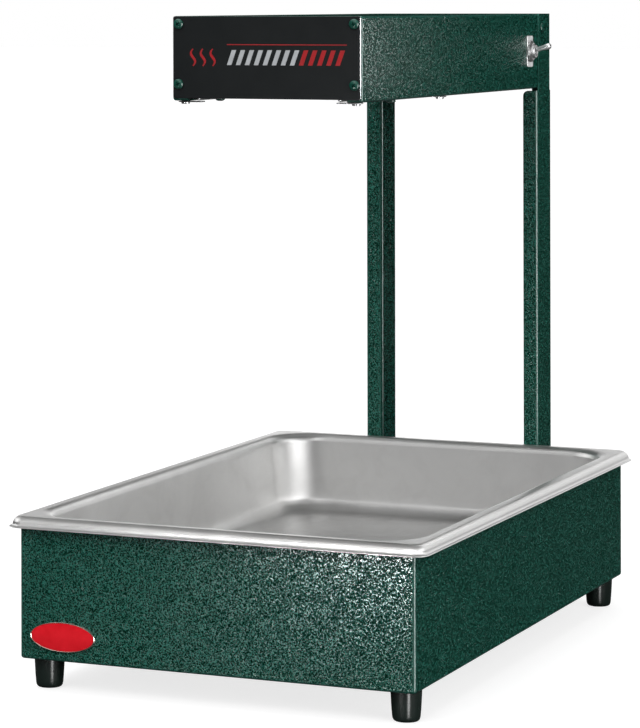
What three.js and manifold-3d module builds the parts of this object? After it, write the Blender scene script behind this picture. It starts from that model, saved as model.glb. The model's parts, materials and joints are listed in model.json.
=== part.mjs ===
// Countertop heat lamp warmer: a heated base with a full-size pan, two rear posts and an
// overhead lamp housing with ceramic elements; the cord is coiled behind the base.
// Millimetres, +Z up, +X to the right, +Y to the rear. The feet stand on z = 0 and the
// base front lies at y = 0 until the body group is shifted along Y.
import * as THREE from 'three';
import { mergeVertices } from 'three/addons/utils/BufferGeometryUtils.js';
import Module from 'manifold-3d';

const wasm = await Module();
wasm.setup();
const { Manifold, Mesh: ManifoldMesh } = wasm;

// ---------------------------------------------------------------- shared dimensions
const BODY_SHIFT_Y = -277.75;    // brings the centre of the overall box to y = 0
const FOOT_H = 23;               // counter to base underside
const FOOT_X = 139;
const FOOT_ROWS = [['front', 20.5], ['rear', 493.5]];   // name, y
const BASE_W = 306, BASE_D = 514, BASE_T = 1.2;
const BASE_CENTER = [0, BASE_D / 2];
const POST_Y0 = 523;
const POST_SCREW_X = 70.6, POST_SCREW_Z = [46, 96];
const LAMP_HALF_W = 76.1, LAMP_T = 1.2;
const LAMP_Y0 = 103.6, LAMP_Y1 = 559.5, LAMP_Z0 = 429.4, LAMP_Z1 = 493;
const WEB_SCREW_Y = 533.6, WEB_SCREW_Z = 481.2;   // post to housing side
const TOGGLE_Y = 505, TOGGLE_Z = 461.3;
const CORD_X = -30, CONDUIT_ENTRY_X = 50;
const ENTRY_Z = 42;              // height of the cord and conduit holes in the base
const CONDUIT_X = 70.2, CONDUIT_Y = 542, CONDUIT_R = 3.7;
const SIDES = [[-1, 'left'], [1, 'right']];       // sign of x, name

// ---------------------------------------------------------------- materials
const finish = (color, roughness, metalness) => ({ color, roughness, metalness });
const FINISH = {
  green: finish(0x16483a, 0.42, 0.15),
  blackPlate: finish(0x1d2021, 0.38, 0.1),
  stainless: finish(0xb9babb, 0.32, 1.0),
  chrome: finish(0xd6d8da, 0.12, 1.0),
  footBlack: finish(0x0d1110, 0.22, 0.0),
  rubber: finish(0x151515, 0.75, 0.0),
  aluminium: finish(0xc9ccd0, 0.2, 1.0),
  ceramic: finish(0xe6e2d8, 0.5, 0.0),
  galvanized: finish(0x9ea2a4, 0.45, 0.9),
  brass: finish(0xb08d4a, 0.3, 1.0),
  heater: finish(0xa8512c, 0.7, 0.0),
  insulation: finish(0xcfc8a8, 0.95, 0.0),
  thermostat: finish(0x222222, 0.5, 0.1),
  badge: finish(0xb81c22, 0.25, 0.2),
  terminalBlock: finish(0xd8d2c2, 0.6, 0.0),
  wiring: finish(0xe4e0d4, 0.7, 0.0),
  conduit: finish(0x3a3c3d, 0.6, 0.3),
};

// ---------------------------------------------------------------- solids and meshes
function toSolid(source, placement) {
  let geometry = source.clone();
  if (placement) geometry.applyMatrix4(placement);
  geometry.deleteAttribute('normal');
  geometry.deleteAttribute('uv');
  geometry = mergeVertices(geometry, 1e-4);
  const index = geometry.index.array;
  const triangles = [];
  // merging collapses some triangles, such as those at a lathe's poles
  for (let i = 0; i < index.length; i += 3) {
    const [a, b, c] = index.slice(i, i + 3);
    if (a !== b && b !== c && a !== c) triangles.push(a, b, c);
  }
  return new Manifold(new ManifoldMesh({
    numProp: 3,
    vertProperties: new Float32Array(geometry.attributes.position.array),
    triVerts: new Uint32Array(triangles),
  }));
}

function toGeometry(solid) {
  const mesh = solid.getMesh();
  const geometry = new THREE.BufferGeometry();
  const positions = new Float32Array(mesh.vertProperties);
  geometry.setAttribute('position', new THREE.BufferAttribute(positions, 3));
  geometry.setIndex(new THREE.BufferAttribute(new Uint32Array(mesh.triVerts), 1));
  geometry.computeVertexNormals();
  return geometry;
}

const group = new THREE.Group();
const body = new THREE.Group();
body.position.y = BODY_SHIFT_Y;
group.add(body);

// adds a mesh with its origin at `at` and, if a direction is given, its +Z turned to it
function put(name, solid, look, at = [0, 0, 0], direction = null) {
  const mesh = new THREE.Mesh(toGeometry(solid), new THREE.MeshStandardMaterial(look));
  mesh.name = name;
  mesh.position.set(...at);
  if (direction) {
    const up = new THREE.Vector3(0, 0, 1);
    mesh.quaternion.setFromUnitVectors(up, new THREE.Vector3(...direction));
  }
  body.add(mesh);
}

// ---------------------------------------------------------------- spans and placements
const around = (center, reach) => [center - reach, center + reach];
// span given for the right side, mirrored to the left when sign is -1
const onSide = (sign, [near, far]) => (sign > 0 ? [near, far] : [-far, -near]);
const cutAll = (solid, tools) => tools.reduce((rest, tool) => rest.subtract(tool), solid);

const move = (x, y, z) => new THREE.Matrix4().makeTranslation(x, y, z);
// placements that turn a solid's +Z to the right (+X) or to the front (-Y)
const facingRight = (x, y, z) => move(x, y, z).multiply(new THREE.Matrix4().makeRotationY(Math.PI / 2));
const facingFront = (x, y, z) => move(x, y, z).multiply(new THREE.Matrix4().makeRotationX(Math.PI / 2));

// ---------------------------------------------------------------- primitive solids
function box([x0, x1], [y0, y1], [z0, z1]) {
  const geometry = new THREE.BoxGeometry(x1 - x0, y1 - y0, z1 - z0);
  return toSolid(geometry, move((x0 + x1) / 2, (y0 + y1) / 2, (z0 + z1) / 2));
}

// cylinder along an axis; (p, q) is its centre on the other two axes, in x, y, z order
function cylinder(axis, [p, q], [start, end], radius, segments, endRadius = radius) {
  const geometry = new THREE.CylinderGeometry(endRadius, radius, end - start, segments, 1);
  const middle = (start + end) / 2;
  if (axis === 'z') return toSolid(geometry, facingFront(p, q, middle));
  if (axis === 'y') return toSolid(geometry, move(p, middle, q));
  const turn = new THREE.Matrix4().makeRotationZ(-Math.PI / 2);
  return toSolid(geometry, move(middle, p, q).multiply(turn));
}

const toVectors = (points) => points.map(([a, b]) => new THREE.Vector2(a, b));
const polygon = (points) => new THREE.Shape(toVectors(points));
const extrude = (shape, depth, placement) =>
  toSolid(new THREE.ExtrudeGeometry(shape, { depth, bevelEnabled: false }), placement);

// prism of a (y, z) shape along X
function alongX(shape, [x0, x1]) {
  const axes = new THREE.Matrix4().set(0, 0, 1, x0, 1, 0, 0, 0, 0, 1, 0, 0, 0, 0, 0, 1);
  return extrude(shape, x1 - x0, axes);
}
// prism of an (x, z) shape along Y
const alongY = (shape, [y0, y1]) => extrude(shape, y1 - y0, facingFront(0, y1, 0));
// prism of an (x, y) shape along Z
const alongZ = (shape, [z0, z1]) => extrude(shape, z1 - z0, move(0, 0, z0));

function roundedRectangle(width, length, radius, segments) {
  const points = [];
  const corners = [[1, 1, 0], [-1, 1, 90], [-1, -1, 180], [1, -1, 270]];  // signs, start angle
  for (const [signX, signY, start] of corners) {
    for (let i = 0; i <= segments; i++) {
      const angle = (start + 90 * i / segments) * Math.PI / 180;
      points.push([
        signX * (width / 2 - radius) + radius * Math.cos(angle),
        signY * (length / 2 - radius) + radius * Math.sin(angle),
      ]);
    }
  }
  return polygon(points);
}

// segments is the count on each corner
function roundedPrism(width, length, radius, [z0, z1], [x, y], segments) {
  return extrude(roundedRectangle(width, length, radius, segments), z1 - z0, move(x, y, z0));
}

// closed loft through rounded rectangles: rings = [{ width, length, radius, z }, ...]
function loft(rings, [centerX, centerY], segments) {
  const size = 100, radius = 20;   // template prism, reshaped ring by ring
  const steps = rings.length - 1;
  const geometry = new THREE.ExtrudeGeometry(roundedRectangle(size, size, radius, segments),
    { depth: steps, steps, bevelEnabled: false });
  const position = geometry.attributes.position;
  // a point keeps its corner and its place on the corner arc
  const reshape = (value, ringSize, ringRadius) => {
    const sign = Math.sign(value);
    const onArc = (value - sign * (size / 2 - radius)) / radius;
    return sign * (ringSize / 2 - ringRadius) + ringRadius * onArc;
  };
  for (let i = 0; i < position.count; i++) {
    const ring = rings[Math.round(position.getZ(i))];
    const x = centerX + reshape(position.getX(i), ring.width, ring.radius);
    const y = centerY + reshape(position.getY(i), ring.length, ring.radius);
    position.setXYZ(i, x, y, ring.z);
  }
  return geometry;
}

// section of a bent sheet, from its open centre line, with mitred bends
function sheet(centerLine, thickness) {
  const points = toVectors(centerLine);
  const leftEdge = [], rightEdge = [];
  points.forEach((point, i) => {
    const before = i > 0 ? point.clone().sub(points[i - 1]).normalize() : null;
    const after = i < points.length - 1 ? points[i + 1].clone().sub(point).normalize() : null;
    const [arriving, leaving] = [before || after, after || before];
    const normal = new THREE.Vector2(-arriving.y, arriving.x);
    const miter = new THREE.Vector2(-leaving.y, leaving.x).add(normal).normalize();
    const offset = (thickness / 2) / miter.dot(normal);
    leftEdge.push(point.clone().addScaledVector(miter, offset));
    rightEdge.push(point.clone().addScaledVector(miter, -offset));
  });
  return new THREE.Shape(leftEdge.concat(rightEdge.reverse()));
}

// round bar along a smooth curve; steps along it, sides around it
function wire(points, radius, steps, sides) {
  const vectors = points.map((point) => new THREE.Vector3(...point));
  const extrudePath = new THREE.CatmullRomCurve3(vectors, false, 'catmullrom', 0.5);
  const section = polygon(Array.from({ length: sides }, (_, i) => {
    const angle = 2 * Math.PI * i / sides;
    return [radius * Math.cos(angle), radius * Math.sin(angle)];
  }));
  return toSolid(new THREE.ExtrudeGeometry(section, { steps, extrudePath, bevelEnabled: false }));
}

const lathe = (profile, segments) => new THREE.LatheGeometry(toVectors(profile), segments);
// solid of revolution about +Z from (radius, z) points
function turned(profile, segments, placement = move(0, 0, 0)) {
  const upright = new THREE.Matrix4().makeRotationX(Math.PI / 2);
  return toSolid(lathe(profile, segments), upright.premultiply(placement));
}

// ---------------------------------------------------------------- pan-head screws
const screwSize = (headR, headH, shankR, shankL) => ({ headR, headH, shankR, shankL });
const SCREW = {
  foot: screwSize(4.0, 2.6, 2.0, 24),
  postBase: screwSize(4.0, 2.6, 2.2, 17),
  postLamp: screwSize(3.9, 2.4, 1.9, 9),
  facePlate: screwSize(3.9, 2.5, 1.8, 7),
  rearPlate: screwSize(3.9, 2.4, 1.8, 7),
  reflector: screwSize(3.7, 2.3, 1.8, 7),
};
// the head's seat is at `at` and the head rises along the direction
function putScrew(name, { headR, headH, shankR, shankL }, look, at, direction) {
  const profile = [
    [0, -shankL], [shankR, -shankL], [shankR, 0], [headR, 0], [headR, headH * 0.38],
    [headR * 0.86, headH * 0.74], [headR * 0.55, headH * 0.94], [0, headH],
  ];
  put(name, turned(profile, 12), look, at, direction);
}

// ================================================================ BASE
const BASE_TOP = 126.1, BASE_CORNER_R = 2.4;
const BASE_FLANGE = 26;          // width of the bottom flange
const BASE_HEM = 2.8;            // width of the top rim
const REAR_WALL_CUT = [505, 520];
const COVER_Z0 = FOOT_H + BASE_T + 0.3, COVER_T = 1;
const TRAY_TOP = 61.5, TRAY_T = 1.2, TRAY_HALF_W = 138.4;
const TRAY_FOOT_X = 128;         // inner edge of the tray's inturned feet
const THERMOSTAT_AT = [0, 455];

// rounded prism on the base centre, inset on all four sides
const baseInset = (inset, radius, spanZ, segments) =>
  roundedPrism(BASE_W - 2 * inset, BASE_D - 2 * inset, radius, spanZ, BASE_CENTER, segments);

function baseShell() {
  const inside = [FOOT_H + BASE_T, BASE_TOP - BASE_T];
  const rearHole = (x, z, radius, segments) =>
    cylinder('y', [x, z], REAR_WALL_CUT, radius, segments);
  const footHoles = SIDES.flatMap(([sign]) =>
    FOOT_ROWS.map(([, y]) => cylinder('z', [sign * FOOT_X, y], [20, 27], 2.5, 12)));
  const postHoles = SIDES.flatMap(([sign]) =>
    POST_SCREW_Z.map((z) => rearHole(sign * POST_SCREW_X, z, 2.6, 12)));
  return cutAll(baseInset(0, BASE_CORNER_R, [FOOT_H, BASE_TOP], 3), [
    baseInset(BASE_T, BASE_CORNER_R - BASE_T, inside, 2),
    baseInset(BASE_HEM, 1, around(BASE_TOP, 5), 1),
    baseInset(BASE_FLANGE, 6, around(FOOT_H, 5), 2),
    ...footHoles,
    ...postHoles,
    rearHole(CORD_X, ENTRY_Z, 7.6, 16),
    rearHole(CONDUIT_ENTRY_X, ENTRY_Z, 6.6, 16),
  ]);
}
put('base_shell', baseShell(), FINISH.green);

// cover above the shell's bottom flange, with two rows of slots
function bottomCover() {
  const width = BASE_W - 2 * BASE_FLANGE + 18;
  const length = BASE_D - 2 * BASE_FLANGE + 14;
  const slots = [-70, -35, 0, 35, 70].flatMap((x) =>
    [130, 384].map((y) => roundedPrism(6, 70, 2.9, [20, 30], [x, y], 2)));
  const plate = roundedPrism(width, length, 4, [COVER_Z0, COVER_Z0 + COVER_T], BASE_CENTER, 2);
  return cutAll(plate, slots);
}
put('base_bottom_cover', bottomCover(), FINISH.galvanized);

// flat plate on side legs with inturned feet, just above the bottom cover
function supportTray() {
  const low = COVER_Z0 + COVER_T + 0.3 + TRAY_T / 2;
  const high = TRAY_TOP - TRAY_T / 2;
  const line = [
    [-TRAY_FOOT_X, low], [-TRAY_HALF_W, low], [-TRAY_HALF_W, high],
    [TRAY_HALF_W, high], [TRAY_HALF_W, low], [TRAY_FOOT_X, low],
  ];
  return alongY(sheet(line, TRAY_T), [26, 488])
    .subtract(cylinder('z', THERMOSTAT_AT, [50, 70], 3, 10));
}
put('base_support_tray', supportTray(), FINISH.galvanized);

const blanket = roundedPrism(250, 430, 8, [56.6, 59.9], [0, 252], 3);
put('base_blanket_heater', blanket, FINISH.heater);

// pad with a clearance hole for the thermostat
const insulation = roundedPrism(262, 442, 6, [34, 56.3], [0, 252], 2)
  .subtract(cylinder('z', THERMOSTAT_AT, [30, 60], 14, 16));
put('base_insulation_pad', insulation, FINISH.insulation);

// disc with a recess in its underside
const thermostat = cylinder('z', THERMOSTAT_AT, [44, 56.2], 11, 16)
  .subtract(cylinder('z', THERMOSTAT_AT, [40, 46], 7, 12));
put('base_thermostat', thermostat, FINISH.thermostat);

// shallow domed oval on the front wall
function badge() {
  const width = 52, height = 22;
  const profile = [[0, 0], [1, 0], [1, 0.9], [0.94, 1.5], [0.8, 1.85], [0, 2.0]];
  const placement = move(-118, -0.2, 41.3)
    .multiply(new THREE.Matrix4().makeRotationX(Math.PI))
    .multiply(new THREE.Matrix4().makeScale(width / 2, 1, height / 2));
  return toSolid(lathe(profile, 32), placement);
}
put('base_badge', badge(), FINISH.badge);

// ================================================================ FEET
// tapered, with a rounded lower edge and a counterbore from below
function foot(x, y) {
  const top = FOOT_H - 0.2;
  const bore = 2.3, counterbore = 4.6, seat = 6.5;
  return turned([
    [bore, seat], [counterbore, seat], [counterbore, 0], [7.6, 0], [9.1, 0.7], [9.9, 2.2],
    [10.3, 4.6], [10.9, 13], [11.3, top - 1.0], [11.0, top], [bore, top], [bore, seat],
  ], 18, move(x, y, 0));
}
for (const [sign, side] of SIDES) {
  for (const [row, y] of FOOT_ROWS) {
    const x = sign * FOOT_X;
    put(`foot_${row}_${side}`, foot(x, y), FINISH.footBlack);
    putScrew(`foot_screw_${row}_${side}`, SCREW.foot, FINISH.galvanized, [x, y, 6.2], [0, 0, -1]);
  }
}

// ================================================================ PAN
const PAN_W = 325, PAN_L = 530;
// half width, z, corner radius: up the outside, over the rim to its outer lip, back inside
const PAN_PROFILE = [
  [126, 62.3, 26], [132.5, 63.6, 30], [137.3, 67.4, 33], [140, 73.5, 35],
  [145.6, 119, 38], [146.6, 123.2, 38.5], [148.3, 125.6, 38], [150.6, 126.4, 34],
  [155.6, 126.4, 7.6], [157.8, 125.2, 8.6], [158.9, 122.8, 9.2], [159.3, 120.2, 9.5],
  [162.2, 119.4, 11.8], [162.5, 119.7, 12], [162.2, 120.2, 11.8], [160.5, 120.9, 10.6],
  [160.0, 122.9, 10.2], [158.6, 125.9, 9.4], [155.9, 127.3, 8.4],
  [150.4, 127.3, 33], [147.6, 126.4, 37], [145.9, 123.8, 37.6], [144.7, 119, 37.1],
  [139.1, 73.9, 34.2], [136.6, 68.4, 32.4], [132.1, 64.6, 29.6], [126, 63.3, 26],
];
const panRings = PAN_PROFILE.map(([half, z, radius]) =>
  ({ width: 2 * half, length: 2 * half + PAN_L - PAN_W, radius, z }));
put('food_pan', toSolid(loft(panRings, BASE_CENTER, 5)), FINISH.stainless);

// ================================================================ POSTS
const POST_X = 77.6;             // outer face of the web
const POST_DEPTH = 38.2, POST_FLANGE = 12.8, POST_T = 1.2, POST_BEND = 1.2;
const POST_Y1 = POST_Y0 + POST_DEPTH;
const POST_NOTCH_Z = 427.4;      // the flanges stop here, below the housing
const POST_LIP_X = POST_X - POST_FLANGE, POST_LIP_R = 4;

// channel open towards the middle, its bends chamfered
function post(sign) {
  const web = POST_X - POST_T / 2;
  const front = POST_Y0 + POST_T / 2, rear = POST_Y1 - POST_T / 2;
  const line = [
    [POST_LIP_X, front], [web - POST_BEND, front], [web, front + POST_BEND],
    [web, rear - POST_BEND], [web - POST_BEND, rear], [POST_LIP_X, rear],
  ].map(([x, y]) => [sign * x, y]);

  const notchX = onSide(sign, [60, 90]);
  const notchZ = [POST_NOTCH_Z, LAMP_Z1 + 5];
  const lipX = onSide(sign, [POST_LIP_X - 1, POST_LIP_X + POST_LIP_R]);
  const lipRound = [sign * (POST_LIP_X + POST_LIP_R), POST_NOTCH_Z - POST_LIP_R];
  // what is cut away to round the flanges' inner top corners
  const lipCorner = box(lipX, [POST_Y0 - 2, POST_Y1 + 2],
    [POST_NOTCH_Z - POST_LIP_R, POST_NOTCH_Z + 1])
    .subtract(cylinder('y', lipRound, [POST_Y0 - 3, POST_Y1 + 3], POST_LIP_R, 20));
  return cutAll(alongZ(sheet(line, POST_T), [FOOT_H + 1, LAMP_Z1]), [
    box(notchX, [POST_Y0 - 5, POST_Y0 + 4], notchZ),
    box(notchX, [POST_Y1 - 4, POST_Y1 + 5], notchZ),
    lipCorner,
    ...POST_SCREW_Z.map((z) =>
      cylinder('y', [sign * POST_SCREW_X, z], around(POST_Y0, 3), 2.6, 12)),
    cylinder('x', [WEB_SCREW_Y, WEB_SCREW_Z], onSide(sign, [70, 85]), 2.3, 12),
  ]);
}

// block between the base's rear wall and the post's front flange
function postSpacer(sign) {
  const block = box(onSide(sign, [65.2, 76.4]), [BASE_D + 0.2, POST_Y0 - 0.2], [34, 108]);
  return cutAll(block, POST_SCREW_Z.map((z) =>
    cylinder('y', [sign * POST_SCREW_X, z], [505, 530], 2.6, 12)));
}

for (const [sign, side] of SIDES) {
  put(`post_${side}`, post(sign), FINISH.green);
  put(`post_spacer_${side}`, postSpacer(sign), FINISH.galvanized);
  ['lower', 'upper'].forEach((level, i) => {
    const at = [sign * POST_SCREW_X, POST_Y0 + POST_T + 0.2, POST_SCREW_Z[i]];
    putScrew(`post_base_screw_${level}_${side}`, SCREW.postBase, FINISH.galvanized, at, [0, 1, 0]);
  });
  putScrew(`post_lamp_screw_${side}`, SCREW.postLamp, FINISH.green,
    [sign * (POST_X + 0.15), WEB_SCREW_Y, WEB_SCREW_Z], [sign, 0, 0]);
}

// ================================================================ LAMP HOUSING
const LAMP_FLANGE = 12.5, LAMP_BEND = 1.2;
const LAMP_BAY_Y = 470;          // the underside is open in front of here
const PLATE_T = 1.3, PLATE_HALF_W = 74.9, PLATE_SPAN_Z = [431.3, 492.8];
const PLATE_Y1 = LAMP_Y0 - 0.25, PLATE_Y0 = PLATE_Y1 - PLATE_T;
const PLATE_SCREW_X = 70.3, PLATE_SCREW_Z = [442, 487];
const REAR_PLATE_T = 1.2, REAR_PLATE_Y0 = LAMP_Y1 + 0.25, REAR_SCREW_Z = 461;
const REAR_PLATE_Y1 = REAR_PLATE_Y0 + REAR_PLATE_T;
const FLANGE_SCREW_X = 70, FLANGE_SCREW_Y = 181;
const LAMP_HOLE_R = 2.1;         // plate and flange screws
const TOGGLE_HOLE_R = 6.2;

const lampHole = (axis, center, span) => cylinder(axis, center, span, LAMP_HOLE_R, 12);
const toggleHole = () => cylinder('x', [TOGGLE_Y, TOGGLE_Z], [70, 80], TOGGLE_HOLE_R, 16);
const faceScrewHoles = (sign, spanY) =>
  PLATE_SCREW_Z.map((z) => lampHole('y', [sign * PLATE_SCREW_X, z], spanY));

function lampHousing() {
  const half = LAMP_HALF_W, top = LAMP_Z1, bend = LAMP_BEND;
  const section = polygon([
    [-half, LAMP_Z0], [half, LAMP_Z0], [half, top - bend],
    [half - bend * 0.3, top - bend * 0.3], [half - bend, top], [-half + bend, top],
    [-half + bend * 0.3, top - bend * 0.3], [-half, top - bend],
  ]);
  const openX = around(0, half - LAMP_FLANGE);
  const screwHoles = SIDES.flatMap(([sign]) => [
    cylinder('x', [WEB_SCREW_Y, WEB_SCREW_Z], onSide(sign, [70, 80]), 2.2, 12),
    ...faceScrewHoles(sign, around(LAMP_Y0, 3)),
    lampHole('y', [sign * PLATE_SCREW_X, REAR_SCREW_Z], around(LAMP_Y1, 3)),
    lampHole('z', [sign * FLANGE_SCREW_X, FLANGE_SCREW_Y], around(LAMP_Z0, 3)),
  ]);
  return cutAll(alongY(section, [LAMP_Y0, LAMP_Y1]), [
    // hollow, then the underside, front and rear openings
    box(around(0, half - LAMP_T), [LAMP_Y0 + LAMP_T, LAMP_Y1 - LAMP_T],
      [LAMP_Z0 + LAMP_T, top - LAMP_T]),
    box(openX, [LAMP_Y0 - 5, LAMP_BAY_Y], around(LAMP_Z0, 5)),
    box(openX, around(LAMP_Y0, 5), [LAMP_Z0 - 5, top - 9]),
    box(openX, around(LAMP_Y1, 5), [LAMP_Z0 + 8, top - 9]),
    toggleHole(),
    ...screwHoles,
    cylinder('z', [CONDUIT_X, CONDUIT_Y], around(LAMP_Z0, 3), CONDUIT_R + 0.5, 14),
  ]);
}
put('lamp_housing', lampHousing(), FINISH.green);

const facePlate = cutAll(
  box(around(0, PLATE_HALF_W), [PLATE_Y0, PLATE_Y1], PLATE_SPAN_Z),
  SIDES.flatMap(([sign]) => faceScrewHoles(sign, [PLATE_Y0 - 2, PLATE_Y1 + 2])),
);
put('front_face_plate', facePlate, FINISH.blackPlate);
for (const [sign, side] of SIDES) {
  ['lower', 'upper'].forEach((level, i) => {
    const at = [sign * PLATE_SCREW_X, PLATE_Y0 - 0.15, PLATE_SCREW_Z[i]];
    putScrew(`face_plate_screw_${level}_${side}`, SCREW.facePlate, FINISH.green, at, [0, -1, 0]);
  });
}

const rearPlate = cutAll(
  box(around(0, LAMP_HALF_W), [REAR_PLATE_Y0, REAR_PLATE_Y1], [LAMP_Z0, LAMP_Z1 - 0.2]),
  SIDES.map(([sign]) => lampHole('y', [sign * PLATE_SCREW_X, REAR_SCREW_Z],
    [REAR_PLATE_Y0 - 2, REAR_PLATE_Y1 + 2])),
);
put('rear_end_plate', rearPlate, FINISH.green);
for (const [sign, side] of SIDES) {
  putScrew(`rear_plate_screw_${side}`, SCREW.rearPlate, FINISH.green,
    [sign * PLATE_SCREW_X, REAR_PLATE_Y1 + 0.15, REAR_SCREW_Z], [0, 1, 0]);
}

// ================================================================ LAMP INTERIOR
const REFLECTOR_Z = 468, REFLECTOR_T = 0.8;
const REFLECTOR_Y0 = 108, REFLECTOR_Y1 = 466;
const ELEMENTS = [['front', 196], ['rear', 366]];   // name, y of the centre
const ELEMENT_L = 122, ELEMENT_TOP = 461;
const BAFFLE_T = 0.8, BAFFLE_Z = 483.5;

// folded trough with slots for the element necks
function reflector() {
  const low = LAMP_Z0 + LAMP_T + 0.8;
  const line = [
    [-74.3, low], [-61.5, low], [-40, REFLECTOR_Z], [40, REFLECTOR_Z], [61.5, low], [74.3, low],
  ];
  return cutAll(alongY(sheet(line, REFLECTOR_T), [REFLECTOR_Y0, REFLECTOR_Y1]), [
    ...ELEMENTS.map(([, y]) => box(around(0, 9.5), around(y, 22), around(REFLECTOR_Z, 6))),
    ...SIDES.map(([sign]) => lampHole('z', [sign * FLANGE_SCREW_X, FLANGE_SCREW_Y],
      [LAMP_Z0 - 3, LAMP_Z0 + 6])),
  ]);
}
put('reflector', reflector(), FINISH.aluminium);
for (const [sign, side] of SIDES) {
  putScrew(`reflector_screw_${side}`, SCREW.reflector, FINISH.green,
    [sign * FLANGE_SCREW_X, FLANGE_SCREW_Y, LAMP_Z0 - 0.15], [0, 0, -1]);
}

// arched trough with a neck that passes up through the reflector
function ceramicElement(y) {
  const outerR = 54, innerR = 46, arcSteps = 8;
  const axisZ = ELEMENT_TOP - outerR;
  const arc = (radius, halfWidth, turn) => {
    const halfAngle = Math.asin(halfWidth / radius);
    return Array.from({ length: arcSteps + 1 }, (_, k) => {
      const angle = Math.PI / 2 + turn * halfAngle * (2 * k / arcSteps - 1);
      return [radius * Math.cos(angle), axisZ + radius * Math.sin(angle)];
    });
  };
  const section = polygon([...arc(outerR, 30, 1), ...arc(innerR, 28.5, -1)]);
  return alongY(section, around(y, ELEMENT_L / 2))
    .add(box(around(0, 7.5), around(y, 19), [458, 476]))
    .add(box(around(0, 8.8), around(y, 15), [459, 465]));
}
for (const [row, y] of ELEMENTS) {
  put(`ceramic_element_${row}`, ceramicElement(y), FINISH.ceramic);
}

// sheet above the elements, folded down in front of the wiring bay, with a wire slot
function heatBaffle() {
  const foldY = LAMP_BAY_Y - 0.8;
  const line = [[110, BAFFLE_Z], [foldY, BAFFLE_Z], [foldY, 431.6]];
  return alongX(sheet(line, BAFFLE_T), around(0, 62))
    .subtract(box(around(0, 14), around(LAMP_BAY_Y, 5), [474, 481]));
}
put('heat_baffle', heatBaffle(), FINISH.galvanized);

// two rails along Y with cross wires on top
function wireGuard() {
  const railX = 56.5, railZ = LAMP_Z0 + 1.75;
  const crossWires = 12, firstY = 112, pitch = 31.5;
  const rail = (x) =>
    cylinder('y', [x, railZ], [REFLECTOR_Y0 - 1, REFLECTOR_Y1 - 4], 1.5, 8);
  let guard = rail(-railX).add(rail(railX));
  for (let i = 0; i < crossWires; i++) {
    const center = [firstY + i * pitch, railZ + 1.9];
    guard = guard.add(cylinder('x', center, around(0, 58.5), 1.1, 6));
  }
  return guard;
}
put('wire_guard', wireGuard(), FINISH.chrome);

// strip under the housing flange with a round head below it, trimmed flat
function guardClip(sign, y) {
  const z = LAMP_Z0;
  const head = cylinder('z', [sign * 68.5, y], [z - 2.6, z - 0.8], 3.1, 12, 3.3)
    .trimByPlane([0, 0, 1], z - 2.5);
  return box(onSide(sign, [54.2, 72.6]), around(y, 4), [z - 1.1, z - 0.25]).add(head);
}
for (const [sign, side] of SIDES) {
  for (const [row, y] of [['front', 111], ['middle', 297]]) {
    put(`guard_clip_${row}_${side}`, guardClip(sign, y), FINISH.chrome);
  }
}

// block with three pockets in its top
const terminalBlock = cutAll(
  box([-26, 14], [500, 524], [431.2, 447]),
  [-18, -6, 6].map((x) => box(around(x, 4), [503, 521], [441, 450])),
);
put('terminal_block', terminalBlock, FINISH.terminalBlock);

// from the front element over the rear one, through the baffle and down to the block
const WIRING_PATH = [
  [0, ELEMENTS[0][1] + 10, 478.6], [3, 260, 478.6], [4, 330, 478.9],
  [3, ELEMENTS[1][1], 479], [3, 420, 478.6], [0, 458, 477.8],
  [0, 480, 477.4], [-3, 494, 470], [-6, 506, 452],
];
put('element_wiring', wire(WIRING_PATH, 1.7, 40, 6), FINISH.wiring);

// ================================================================ TOGGLE SWITCH
const TOGGLE_TILT = 15;          // degrees up from level

// bushing with an open bore, a two-part square body and two blades on its inner side
function toggleBody() {
  const bushing = turned([
    [0, 0], [5.9, 0], [5.9, 19.5], [5.2, 21.3], [4.3, 21.3], [4.1, 12], [0, 12],
  ], 16, facingRight(61, TOGGLE_Y, TOGGLE_Z));
  const collar = box([61.8, 74.4], around(TOGGLE_Y, 8), around(TOGGLE_Z, 13))
    .subtract(cylinder('x', [TOGGLE_Y, TOGGLE_Z], [60, 80], 5.5, 16));
  const blade = (z) => box([41, 49], around(TOGGLE_Y, 3), around(z, 0.5));
  return bushing
    .add(box([48, 62], around(TOGGLE_Y, 9), around(TOGGLE_Z, 14)))
    .add(collar)
    .add(blade(TOGGLE_Z - 7))
    .add(blade(TOGGLE_Z + 7));
}
put('toggle_switch_body', toggleBody(), FINISH.galvanized);

const legendX = [LAMP_HALF_W + 0.1, LAMP_HALF_W + 0.9];
const legendPlate = box(legendX, around(TOGGLE_Y, 7.5), around(TOGGLE_Z, 13.2))
  .subtract(toggleHole());
put('toggle_legend_plate', legendPlate, FINISH.chrome);

const ringNut = turned([
  [6.15, 0], [9.1, 0], [9.2, 1.1], [7.6, 2.6], [6.15, 2.9], [6.15, 0],
], 24, facingRight(LAMP_HALF_W + 1.1, TOGGLE_Y, TOGGLE_Z));
put('toggle_ring_nut', ringNut, FINISH.chrome);

// bat lever with its origin at the pivot, inside the bushing
const tilt = TOGGLE_TILT * Math.PI / 180;
const lever = turned([
  [0, -2.3], [1.6, -1.7], [2.3, 0], [1.8, 1.5], [1.45, 3.2], [1.6, 6],
  [2.05, 11], [2.5, 15.6], [2.3, 17.4], [1.4, 18.6], [0, 19.0],
], 14);
put('toggle_lever', lever, FINISH.chrome,
  [LAMP_HALF_W + 1.0, TOGGLE_Y, TOGGLE_Z], [Math.cos(tilt), 0, Math.sin(tilt)]);

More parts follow.
